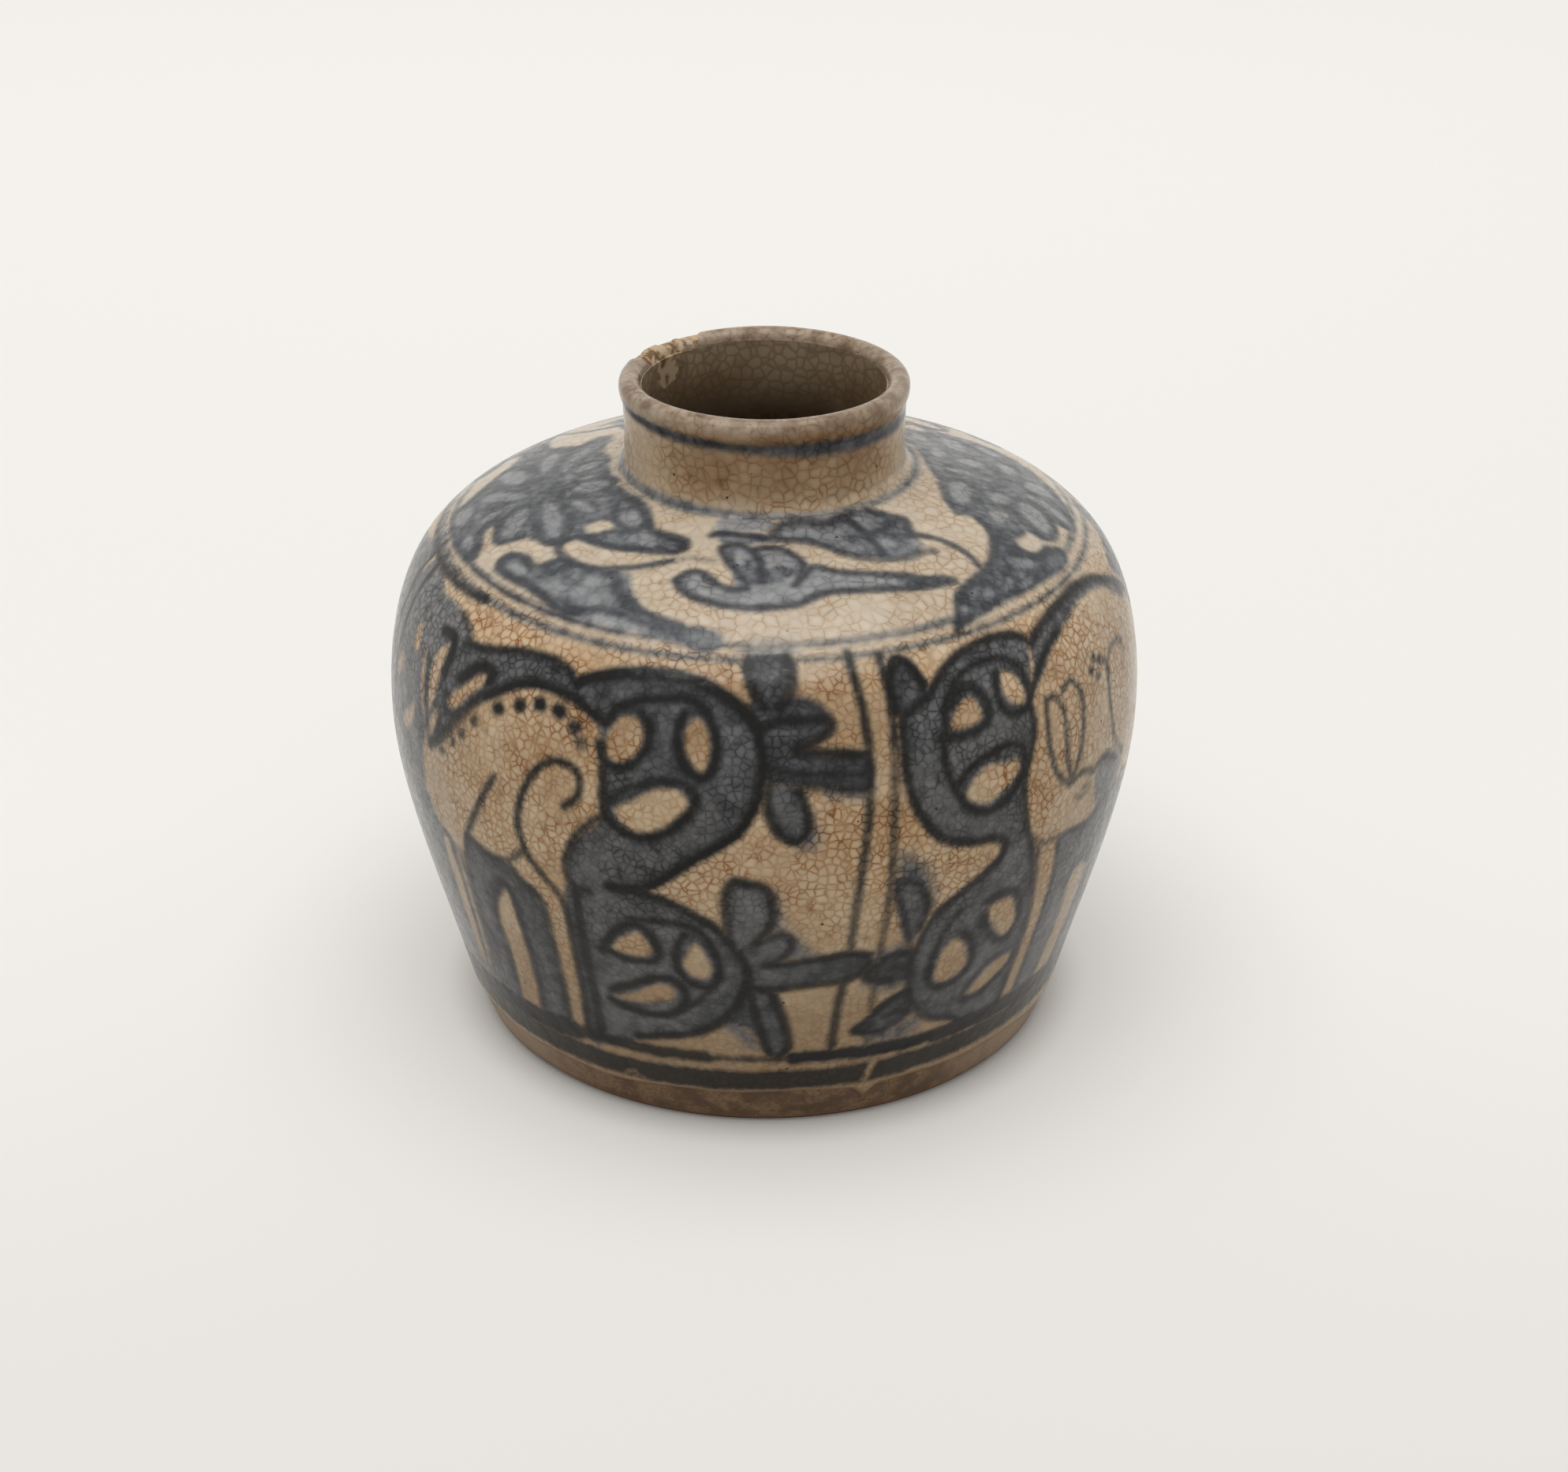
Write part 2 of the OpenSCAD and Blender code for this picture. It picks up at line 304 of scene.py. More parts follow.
# Fronds on the left rock: washes, the soft shade beside them and lines
FROND_A_WASH = [
    (1.06, [(-3, 58), (-1.6, 61), (1.4, 61), (2.4, 58), (1.6, 54), (-1, 54)]),
    (0.9, [(-4.4, 24), (-3, 28.4), (0.4, 28), (1.2, 24.4), (-1, 21.6)]),
    (1, [(-2.9, 66.2), (-2.6, 63), (-0.6, 60), (2.4, 60), (4.2, 63), (4.3, 66.2)]),
    (1.04, [(0.3, 59.4), (3.4, 61.2), (7.4, 61), (9.6, 59.2), (9.7, 57.4), (7, 56), (4.2, 54.9),
     (0.2, 53)]),
    (1.04, [(0.2, 54), (4.5, 54.9), (9, 54.3), (14.8, 53.8), (15, 49.2), (9, 49.9), (4.8, 50.6),
     (0.4, 51)]),
    (0.85, [(0.6, 50.6), (0.5, 47), (2.2, 44), (4.6, 43), (6.4, 44.4), (6.2, 47.4), (4.6, 50.4)]),
    (0.75, [(-5.4, 35), (-4.3, 38), (-0.6, 37.4), (1.2, 35.4), (1.3, 32.4), (0.4, 29.6), (-1.6, 27.6),
     (-5, 27.6), (-5.3, 31)]),
    (0.85, [(-1.6, 28), (0.6, 29), (3, 29.6), (4.1, 28.2), (3.8, 26.2), (1.4, 24.6), (-2, 23)]),
    (0.95, [(-3, 24.6), (-2.4, 26), (1.4, 24.8), (9.3, 25.4), (13, 25.8), (16.2, 25.1), (16.7, 23.8),
     (15.6, 22.2), (12.8, 21), (5.7, 20.5), (1, 19.8), (-2, 19)]),
    (0.95, [(-3.6, 22), (1, 20.4), (2.6, 16), (3.8, 12), (4, 8.6), (2.4, 7.4), (0.4, 8.6), (-2, 12.4),
     (-5.6, 13.6), (-5, 16)]),
]

FROND_A_SHADE = [
    (0.5, [(-2.8, 66), (-2.8, 67.6), (4.2, 67.6), (4.2, 66)]),
    (0.6, [(5.4, 46.4), (6.4, 46.6), (7.4, 43.4), (6.6, 42.2), (5, 42.6)]),
    (0.6, [(1, 36), (2, 34), (3.2, 30.6), (6, 27.4), (7.6, 25.4), (3, 25), (0.6, 30)]),
    (0.5, [(15, 50), (14, 48.6), (9, 49.2), (9, 50.6), (14, 50.4)]),
    (0.6, [(-7, 14), (-5, 16), (-3, 13), (-1, 9.4), (-3, 10)]),
]

FROND_A_LINES = [
    (1.3, 0.9, [(-2.6, 65.4), (-2, 62.4), (0, 60)]),
    (1.4, 0.9, [(3.4, 66), (4.4, 64), (4, 61.8), (2.2, 60)]),
    (1.3, 0.95, [(-0.4, 57.6), (2, 58.4), (5.5, 58.5), (9.2, 58.4), (9.7, 57.3), (7.6, 56), (4.4, 54.9),
     (9, 54.4), (14.6, 53.8)]),
    (1, 0.85, [(0.4, 53), (5.5, 52), (10, 51.7), (14.2, 51.5)]),
    (1, 0.75, [(4.6, 50.6), (9, 49.9), (14.5, 49.2)]),
    (1.2, 0.9, [(0.3, 50.8), (0.5, 47.2), (2, 44.4), (4.2, 43.4), (6, 44.6), (6, 47.2), (4.7, 50)]),
    (1.3, 0.9, [(-5.5, 28), (-5.4, 32), (-5.6, 35.4), (-4.3, 37.9), (-2.6, 37.4), (-0.4, 37.2), (1, 35.6),
     (1.3, 33), (0.6, 30.4), (-1.2, 28.2)]),
    (1.1, 0.9, [(-1.4, 27.8), (0.4, 28.9), (2.8, 29.6), (4, 28.5), (3.7, 26.6), (2, 25), (0.6, 24.4)]),
    (1.2, 0.95, [(0.4, 24.3), (5.6, 24.9), (9.3, 25.3), (13, 25.7), (16, 25)]),
    (1.2, 0.95, [(16.4, 23.6), (15, 21.9), (12.6, 20.9), (5.6, 20.4), (0.4, 19.8), (-2, 20.6)]),
    (1.3, 0.95, [(-2.6, 21.4), (-1.8, 17.4), (-1, 14), (0, 10.4), (1, 8)]),
    (1.3, 0.95, [(0.8, 20), (2.5, 16.2), (3.6, 12.6), (4, 9.2), (2.6, 7.8)]),
    (1.2, 0.95, [(-5, 28.2), (-3.3, 25.6), (-2.3, 22)]),
]

# Beast at the left: washes round it, places left bare and lines
BEAST_A_WASH = [
    (0.9, [(-52.4, 60.4), (-46.4, 61.2), (-40, 62.3), (-34, 62.6), (-29, 60.6), (-25, 57.2), (-31, 58.9),
     (-37, 58.9), (-42, 56.8), (-46, 54.4), (-50, 51.4), (-55.6, 46), (-58.4, 44.4), (-60, 48), (-57, 54),
     (-55, 60)]),
    (0.64, [(-78, 63), (-66, 63.2), (-57, 62.8), (-52.4, 60.6), (-55, 56), (-58, 48), (-60, 44.4),
     (-60.9, 40), (-60.2, 36.4), (-58, 33.4), (-55.4, 32.4), (-53, 30.4), (-51.6, 26), (-52.4, 16),
     (-54.4, 6), (-78, 6), (-79, 30)]),
    (0.95, [(-51, 31.4), (-49.4, 34.6), (-45.5, 33.6), (-41, 33.7), (-38.4, 32), (-34.8, 29.8), (-34.5, 20),
     (-35.2, 8), (-38, 6), (-46, 5.6), (-54, 5.8), (-52.6, 20)]),
    (0.9, [(-30.6, 29.8), (-29.4, 34.4), (-28, 33), (-28.4, 20), (-28.8, 6.4), (-32, 6.6), (-31, 15),
     (-30.6, 24)]),
]

BEAST_A_PALE = [
    [(-60, 53), (-59.6, 56.6), (-57.4, 58.6), (-56.6, 58.4), (-57, 55), (-57.6, 51.4), (-58.8, 49.4),
     (-59.6, 50.6)],
    [(-54, 52), (-51.6, 54.4), (-48.4, 57), (-46, 57.6), (-46.2, 56.4), (-49.4, 53.8), (-52, 51.4)],
    [(-63.8, 56.2), (-62.6, 55.4), (-61.4, 52), (-60, 48), (-61, 48.4), (-62.4, 51.6)],
    [(-68.6, 57.4), (-67, 58), (-65.6, 55.6), (-66.6, 54), (-68, 55)],
    [(-69.8, 43.4), (-66.6, 46.6), (-64, 48), (-64.4, 46), (-66.6, 43.6)],
    [(-59.2, 46.2), (-57.4, 49.4), (-56, 50.4), (-56.6, 47.8), (-58, 46)],
    [(-75, 49.4), (-73, 52), (-71.2, 51.8), (-72.4, 49)],
    [(-47.4, 6.4), (-46.4, 12.4), (-46, 17.4), (-46.3, 22), (-45.2, 25.6), (-43.4, 28.2), (-42.2, 28.8),
     (-41.6, 26.4), (-41.1, 20), (-41.1, 15), (-41.8, 10), (-42.2, 6.6), (-45, 6)],
    [(-57.6, 31), (-56, 31.4), (-55.2, 26), (-55.4, 18), (-56.8, 11), (-58.6, 10.4), (-58.2, 20)],
    [(-54.4, 29.4), (-53.2, 29), (-53, 22), (-53.8, 15), (-55.4, 10.4), (-55.6, 12), (-54.4, 20)],
]

BEAST_A_LINES = [
    (1.1, 0.95, [(-53, 60.2), (-50, 60.2), (-46.4, 61), (-42.8, 61.8), (-39, 62.3), (-35, 62.4),
     (-32, 61.9), (-29.2, 60.4)]),
    (1.4, 1, [(-46.5, 54.6), (-43, 56.5), (-40, 58), (-37, 58.9), (-34, 59.1), (-31, 58.8), (-28, 58.2),
     (-25.2, 57)]),
    (1.5, 0.8, [(-58.2, 44.6), (-55.6, 46), (-52.4, 48.8), (-49, 52.4), (-46, 55)]),
    (0.9, 0.7, [(-57, 62.6), (-54.4, 61.6), (-52, 60.4)]),
    (1.6, 1, [(-59.8, 59.6), (-57.6, 59.8), (-55.9, 59.2), (-55.7, 57), (-56.2, 55)]),
    (1.5, 1, [(-51.8, 55.6), (-49, 57.8), (-46.4, 58.6), (-44.8, 58.2), (-45.4, 57)]),
    (0.8, 0.75, [(-61.4, 55), (-60.6, 52), (-59.6, 48.6), (-58.6, 46.4)]),
    (0.8, 0.7, [(-56, 50), (-55.6, 48.4), (-56.4, 46.6)]),
    (0.9, 0.8, [(-54.4, 53), (-54.8, 51.4), (-53, 50.4), (-50, 52)]),
    (1, 0.9, [(-42.1, 45.4), (-44.6, 42), (-47.1, 38.2), (-49, 35.4), (-50.6, 32.4), (-51.6, 29.4),
     (-51.8, 25), (-52.4, 20)]),
    (0.9, 0.8, [(-49.2, 34.9), (-46.4, 33.9), (-43.6, 33.5), (-40.8, 33.9), (-38.9, 35), (-37.2, 36.4)]),
    (1.1, 0.95, [(-29.2, 44.8), (-27.5, 46.2), (-26.7, 48), (-27.6, 49.9), (-29.6, 50.5), (-32.2, 50),
     (-34.6, 48), (-36.4, 45), (-37.5, 41.6), (-37.3, 38.6), (-36, 36), (-34, 33.8), (-31.8, 32),
     (-30.6, 29.4), (-30.5, 25), (-30.7, 19), (-31.2, 12), (-31.9, 7.4)]),
    (0.9, 0.8, [(-40.4, 33.6), (-38.2, 31.8), (-36.2, 30.3), (-34.6, 29.3), (-34.4, 25), (-34.6, 17.5),
     (-34.9, 12.4), (-35.4, 8)]),
    (1.2, 0.8, [(-44.6, 27.4), (-42.6, 29.6), (-41.2, 28.2), (-40.6, 24), (-40.5, 18), (-40.8, 12),
     (-41.6, 7)]),
    (0.9, 0.6, [(-44.6, 27.6), (-46, 25), (-46.6, 21.5), (-46.3, 17), (-47, 12), (-48, 7)]),
    (0.8, 0.7, [(-57, 32), (-55.4, 32.2), (-54.4, 29.4), (-54.4, 25), (-55, 19), (-56, 12)]),
    (0.8, 0.6, [(-52.6, 31), (-52.6, 25), (-53.2, 17), (-54.6, 9)]),
    (1.7, 1, [(-42.6, 54.3), (-42.2, 54.4)]),
    (1.7, 1, [(-38.6, 55.7), (-38.3, 55.8)]),
    (1.8, 1, [(-35, 56.7), (-34.7, 56.7)]),
    (1.9, 1, [(-31.5, 56.6), (-31.1, 56.5)]),
    (1.7, 0.9, [(-28.5, 55.2), (-28.2, 55)]),
    (1.5, 0.7, [(-27.3, 53.6), (-27, 53.2)]),
    (1.2, 0.8, [(-51.8, 47.2), (-51.6, 47.3)]),
    (1.2, 0.8, [(-49.8, 48.8), (-49.4, 49)]),
    (1.5, 0.8, [(-47.2, 51.4), (-46.9, 51.6)]),
    (1.2, 0.7, [(-54.8, 45), (-54.2, 45.1)]),
]

# Rock at the right: its washes, its holes and its lines
ROCK_B_WASH = [
    (0.82, [(20.2, 56), (21, 59), (25, 60), (30, 63), (36, 64.2), (42, 64), (46, 62.4), (44, 58),
     (42.8, 54.4), (42.9, 52), (41, 47.6), (40, 43), (40.6, 39.4), (42.3, 36), (43.4, 31), (36, 30),
     (26, 30), (33, 34), (36.4, 36.6), (36, 38.6), (31.7, 39.4), (27, 40.4), (22.8, 44), (20.6, 49)]),
    (0.88, [(26, 30.2), (34, 34.2), (38, 36), (42.4, 36), (43.4, 32), (44.4, 29), (45.6, 22), (45.4, 13),
     (44.4, 6.4), (36, 6.8), (34, 8.8), (29.2, 10.4), (24.4, 14.4), (22.7, 20), (23.6, 26)]),
]

ROCK_B_HOLES = [
    [(28.1, 55), (29, 57), (31, 58.3), (33, 57.4), (33.5, 55.6), (31.5, 54.7)],
    [(38, 58.4), (38.8, 60), (40.4, 59.4), (42, 57.4), (42.2, 55.4), (40.4, 55.4), (38.6, 56.6)],
    [(29.6, 46.2), (31, 48), (33.6, 49.2), (36.6, 48.8), (39.3, 48.6), (38.4, 46.6), (35.6, 45), (33, 44.3),
     (31, 44.8)],
    [(27.6, 19), (28, 22), (29.6, 24.4), (31.6, 23.8), (33.3, 21), (33.4, 18.4), (31.4, 17.1),
     (28.8, 17.2)],
    [(35.5, 27.4), (37, 28.7), (39.8, 28.4), (41.8, 25.6), (42, 23), (40.6, 21.7), (38, 23.6)],
    [(35.8, 12.8), (37.6, 15.4), (40.4, 17.2), (43.6, 17.4), (44.2, 16.4), (42, 14.6), (38.8, 12.8)],
]

ROCK_B_LINES = [
    (1.25, 0.95, [(20.3, 57), (20.2, 53), (20.6, 49), (22, 45.4), (25, 41.7), (28, 40.1), (31.7, 39.3),
     (34.6, 39), (36.6, 37.9), (36, 35.8), (32.6, 33.8), (28.8, 31.7), (25.8, 30)]),
    (1, 0.9, [(25.8, 30), (24.3, 27), (23, 23), (22.8, 20), (24, 15.6), (26.6, 12), (29.2, 10.5),
     (31.8, 9.6), (34.6, 8.6), (36.4, 7)]),
    (1.25, 0.95, [(20.4, 57.6), (23, 58.6), (25.4, 59.8), (28, 61.8), (31, 63.2), (34.6, 64), (38.4, 64.3),
     (42, 64), (44.8, 63.2), (46.6, 61.8)]),
    (1.1, 0.95, [(27, 54.4), (27.4, 57.4), (29.4, 60), (32, 61.4), (36, 62), (39.6, 61.6), (42, 60.2),
     (43, 57.6), (42.4, 55), (40, 54.4), (38, 55), (36.9, 57.2), (37.4, 60)]),
    (1.35, 0.9, [(25.8, 54.2), (28.6, 53.8), (32, 54), (34.4, 54.8), (34.8, 57), (33.2, 59.2), (30.6, 59.6),
     (28.2, 57.6)]),
    (1.1, 0.95, [(26.4, 53.6), (26.6, 50.4), (28, 47), (30, 44.4), (33, 43.2), (36.6, 43.8), (39.2, 45.8),
     (40.4, 48), (40, 50.2), (37, 51), (34, 50.6), (30.6, 49.6), (28.6, 48)]),
    (1.1, 0.95, [(42.6, 54.6), (43, 52.4), (41.8, 49.2), (40.4, 46.2), (40.1, 43), (40.8, 39.2), (42.2, 36),
     (43, 32.8), (44, 29.4)]),
    (1, 0.9, [(30, 29.2), (28, 26.4), (26.8, 22.6), (26.4, 19), (28, 16.6), (31, 16.2), (33.8, 17.4),
     (34.6, 20), (33.4, 23.4), (31.4, 25.2)]),
    (1.1, 0.9, [(34.8, 29.4), (37.6, 29.8), (40.8, 29), (42.6, 26), (42.8, 22.8), (41, 21), (38.4, 21.8),
     (36, 24.4), (35, 27)]),
    (1, 0.9, [(34.6, 12.2), (37.6, 11.9), (41, 13), (44.4, 15.4), (44.8, 17.6)]),
    (0.7, 0.64, [(34.8, 13.4), (37, 16.4), (40, 18.2), (44.4, 18.4)]),
    (1.1, 0.85, [(43.6, 35), (44.4, 30), (45.4, 25), (45.8, 20), (45.6, 14), (44.6, 7.4)]),
    (0.7, 0.64, [(42.4, 30), (42.8, 33), (43.6, 35.4)]),
]

# Fronds on the right rock: washes, the soft shade beside them and lines
FROND_B_WASH = [
    (1, [(19.4, 58), (19.4, 63), (21.4, 65), (23.6, 64), (25.4, 60.6), (23.4, 58.2)]),
    (0.85, [(18.6, 36.4), (20.6, 36.2), (23.4, 34.4), (24.6, 31), (23, 26), (21.4, 26.4), (19.6, 31)]),
    (1.1, [(15.3, 21.2), (16.5, 22.8), (20, 24.6), (23, 24.4), (24, 20), (22.6, 19), (20, 19.5),
     (17, 19.8)]),
    (1.1, [(14.6, 11.3), (16.5, 12.8), (19, 15.5), (22.8, 17.4), (25, 15), (24, 11.5), (20, 10),
     (16.5, 10.2)]),
]

FROND_B_SHADE = [
    (0.8, [(15.6, 21), (17, 25), (22, 25.4), (23, 19), (18, 18.4)]),
    (0.7, [(18.8, 39.6), (20.4, 39.8), (23.2, 37.6), (24.8, 34.6), (24.6, 31.4), (23, 30), (20.6, 33)]),
    (0.7, [(17, 10), (20, 10.4), (24, 11), (27, 11.6), (25, 8.6), (20, 8.4)]),
]

FROND_B_LINES = [
    (1.4, 1, [(19.6, 58.4), (19.4, 62), (21, 64.4), (23.2, 63.6), (24.8, 61)]),
    (1, 0.85, [(18.8, 36.2), (21, 36), (23.4, 34.2), (24.5, 31), (23.6, 28)]),
    (1, 0.8, [(18.8, 35), (20.4, 31), (21.6, 27.4), (22.6, 24)]),
    (1.3, 0.95, [(23.4, 24.2), (20, 24.3), (17, 22.9), (15.6, 21.4), (17.2, 20.1), (20, 19.7)]),
    (1.2, 0.95, [(22.8, 17.2), (19.4, 15.4), (16.8, 12.8), (15, 11.4), (17, 10.5), (20, 10.2)]),
    (1, 0.85, [(20, 22), (22, 21.4), (23.6, 20)]),
    (1, 0.85, [(20, 13), (22.6, 13.6), (25, 12.6)]),
]

# Beast at the right: washes round it, places left bare and lines
BEAST_B_WASH = [
    (0.85, [(46.4, 61.6), (50.4, 63), (56.6, 64.2), (63, 64.6), (69.2, 63.8), (75, 62), (82, 58.4),
     (80, 57), (74.6, 60.6), (69, 62.4), (63, 62.8), (56.6, 61.8), (50, 60), (45.4, 57)]),
    (0.75, [(48.6, 34.6), (56.7, 34), (60, 35.6), (66, 36), (74, 34), (84, 33), (90, 40), (91, 50),
     (86, 57), (82, 61), (90, 63), (99, 63), (99, 6), (70, 6), (47.8, 6), (49, 14), (49.2, 26)]),
    (0.45, [(57.4, 40), (60, 42.2), (65, 41), (68, 37.6), (64, 35.6), (59, 35.4)]),
]

BEAST_B_PALE = [
    [(45.5, 34.4), (47.2, 34.8), (48.8, 31), (49.1, 25), (49, 15), (48.8, 10), (47.4, 6), (45, 5.6),
     (46, 10), (47.1, 16), (47.3, 24), (46.8, 30)],
    [(55.6, 24), (57, 26), (59.6, 26.2), (62, 24), (62.4, 18), (61, 10), (59, 6), (54.4, 5.8), (55, 11),
     (56.3, 17)],
    [(84, 34), (88.4, 34), (89.4, 24), (89, 14), (90, 6.4), (85.6, 6.4), (84.8, 16), (85, 26)],
    [(75, 27), (77.4, 27.6), (78.8, 20), (78.4, 10), (79, 6.4), (74.8, 6.4), (75, 16)],
    [(93, 47), (94.6, 53), (97, 55), (96.4, 50), (94.4, 45.4)],
    [(92, 40), (95, 44), (98, 44.6), (96, 40.4), (93, 37.6)],
]

BEAST_B_LINES = [
    (1.3, 0.95, [(46.6, 61.8), (50.4, 63.2), (56.7, 64.2), (63, 64.5), (69.2, 63.8), (75, 62), (82, 58.4),
     (88, 53), (91, 46), (90, 39), (87, 34.6)]),
    (1.2, 0.95, [(43, 55.6), (46, 58.4), (50, 60.4), (54, 61.6)]),
    (0.9, 0.85, [(46, 54.6), (45.6, 50), (46.2, 46), (48, 43.4), (50.2, 41.8)]),
    (0.8, 0.85, [(46, 54.4), (48.2, 54.2), (49.7, 51.6), (49.6, 46.4), (50.4, 42.8)]),
    (0.8, 0.85, [(50.2, 54.6), (52, 55.2), (53.8, 54.2), (54.6, 51.8), (53.8, 47.6), (52, 44), (50.4, 42)]),
    (0.9, 0.8, [(50.2, 42), (53.8, 42.4), (56.7, 41.4), (59.4, 42.2), (62.2, 41.4), (64.4, 40.2)]),
    (0.7, 0.6, [(51.8, 39.4), (53.6, 38.8), (55.8, 39.6), (54, 40)]),
    (0.8, 0.8, [(61.8, 54.8), (63.6, 53.6), (62.9, 49), (63.6, 44.4), (66.2, 41.2), (69, 39.4)]),
    (0.8, 0.7, [(63.4, 53.8), (67, 55), (71, 54.6), (72, 52.6)]),
    (1.05, 1, [(58.4, 54.5), (58.6, 54.5)]),
    (1.05, 1, [(59.9, 55.8), (60.1, 55.8)]),
    (1.05, 1, [(61.6, 55), (61.8, 55)]),
    (1.05, 0.9, [(60.1, 53.2), (60.3, 53.2)]),
    (0.8, 0.7, [(42.6, 36.6), (45.4, 35), (50.4, 34.6), (56.7, 34), (60, 35.4)]),
    (0.8, 0.6, [(48.4, 34.4), (49.4, 30), (49.5, 22), (49.4, 14), (48.4, 7)]),
    (0.7, 0.6, [(55.4, 24.4), (56.6, 20), (56, 14), (54.2, 7)]),
    (0.9, 0.8, [(84, 33.6), (84.6, 26), (84.4, 16), (85, 7)]),
    (0.9, 0.8, [(88.8, 34), (89.8, 26), (89.4, 15), (90.4, 7)]),
    (0.9, 0.8, [(70, 36), (76, 34.4), (82, 34.6), (86, 37)]),
    (0.9, 0.85, [(92, 47), (93.6, 53), (97, 56), (97.6, 51), (95.4, 45.4)]),
    (0.9, 0.85, [(91.4, 39.6), (94.6, 44.4), (98.6, 45.4), (97, 40.4), (93, 36.8)]),
]

# Upright lines between the panels
DIVIDER_LINES = [
    (1.1, 0.97, [(13.4, 66.2), (14.1, 62.6), (14.8, 57.5), (15, 52)]),
    (1.05, 0.88, [(15, 52.5), (14.8, 47.5), (14.2, 42), (13.5, 36), (13, 30), (12.8, 26)]),
    (1.2, 0.97, [(12.2, 20.8), (11.6, 15), (11.3, 8)]),
    (1.1, 0.97, [(18.6, 65.4), (19, 60), (18.9, 54)]),
    (1, 0.78, [(18.9, 54.5), (18.5, 49), (18.3, 43), (18.1, 36), (17.8, 30), (17.5, 25)]),
    (0.9, 0.65, [(17.5, 25.5), (17.3, 20), (17.4, 14), (17.5, 8)]),
]

# Flower heads of the shoulder: a dark wash, paler petals on it and a few strokes
FLOWER_A_WASH = [
    (1, [(-66, 89.8), (-78, 90), (-92, 90), (-101, 88.4), (-113, 87.6), (-115, 85), (-108, 83.2),
     (-108.6, 80.4), (-103, 77), (-99, 74.4), (-93, 72), (-90, 70), (-88, 67.6), (-78, 67.2), (-67, 67.4),
     (-64.6, 68.6), (-66.4, 70.4), (-70, 71.6), (-70.4, 73), (-67.4, 72.4), (-63.6, 71.8), (-60.6, 73.6),
     (-58.6, 75.2), (-54, 75.8), (-50.6, 76.4), (-49.6, 78.6), (-53.4, 81), (-54, 84)]),
]

FLOWER_A_PETALS = [
    [(-76, 85.2), (-75, 87.4), (-71, 89.4), (-67, 89), (-66, 87.2), (-67.4, 85.4), (-70.6, 84.4),
     (-73.6, 84.3)],
    [(-80.6, 86.4), (-79.6, 89), (-77.4, 89.2), (-76.6, 87.4), (-77.6, 85.6), (-79.4, 85.2)],
    [(-91.6, 87.6), (-89, 89.4), (-85.4, 88.6), (-83.4, 86), (-85, 85), (-89, 85.6)],
    [(-108, 86), (-100, 86.8), (-91, 85.4), (-86, 83.8), (-92, 83.2), (-101, 84)],
    [(-106, 81), (-99, 82.4), (-91, 82), (-88, 80.8), (-94, 79.8), (-101, 79.6)],
    [(-98.4, 75), (-94.6, 77.8), (-89, 78.9), (-86, 77.8), (-88.4, 75.6), (-93.6, 74)],
    [(-87.6, 72), (-85.4, 75), (-81, 78.2), (-77.4, 79), (-77, 77), (-80, 74.4), (-84.4, 72)],
    [(-77, 73.4), (-75.6, 75.4), (-74.2, 75), (-73, 72.4), (-74, 71), (-76, 71.4)],
    [(-72.6, 77.4), (-70.8, 78.4), (-66, 77.4), (-62.4, 75.2), (-62, 73.4), (-64.8, 72.7), (-68.6, 74),
     (-71.4, 75.8)],
    [(-72, 80.4), (-68, 81.6), (-60, 81), (-54.4, 79.4), (-52.8, 77.8), (-55, 76.9), (-62, 78),
     (-68.6, 79.4)],
    [(-68, 83.4), (-64, 84.8), (-58, 85.2), (-55, 84.2), (-58, 83), (-64, 82.6)],
    [(-75, 69.4), (-73.4, 70.6), (-70, 70.4), (-68, 69.2), (-69.6, 68.2), (-73, 68.2)],
    [(-87, 69.4), (-84, 71.4), (-80, 71), (-79, 69), (-82, 67.8), (-86, 68)],
]

FLOWER_A_LINES = [
    (0.8, 0.7, [(-50.8, 77.4), (-54, 76.3), (-62, 77.3), (-69, 79), (-73, 80.6)]),
    (0.9, 0.6, [(-52, 79.8), (-58, 81.5), (-66, 82.3), (-74, 82)]),
    (0.9, 0.75, [(-61, 74), (-64, 72.2), (-69, 73.6), (-72, 76), (-74, 78.6)]),
    (0.8, 0.7, [(-65, 68.6), (-66.6, 70), (-70, 71.2), (-74, 71), (-76.4, 69.6), (-75, 68)]),
    (3, 0.5, [(-84, 81.6), (-79, 81.4), (-75, 81.8)]),
    (0.7, 0.5, [(-85, 83.2), (-94, 83), (-106, 82.6)]),
    (0.7, 0.5, [(-87, 79.4), (-96, 78.8), (-103, 77.4)]),
]

FLOWER_B_WASH = [
    (0.84, [(59.6, 82), (62, 83.6), (65, 85), (70, 86.2), (76, 87), (80, 88.2), (90, 89.4), (104, 89.6),
     (118, 88.6), (124, 86), (122, 82.4), (117, 79), (112, 76.2), (106, 74), (99, 71.8), (92, 69.8),
     (84, 68), (79, 68), (77.4, 69.8), (76.6, 71), (74, 70.2), (71, 69.9), (68, 70.9), (66.6, 72.4),
     (66, 74.4), (62.6, 77), (62, 79.8)]),
]

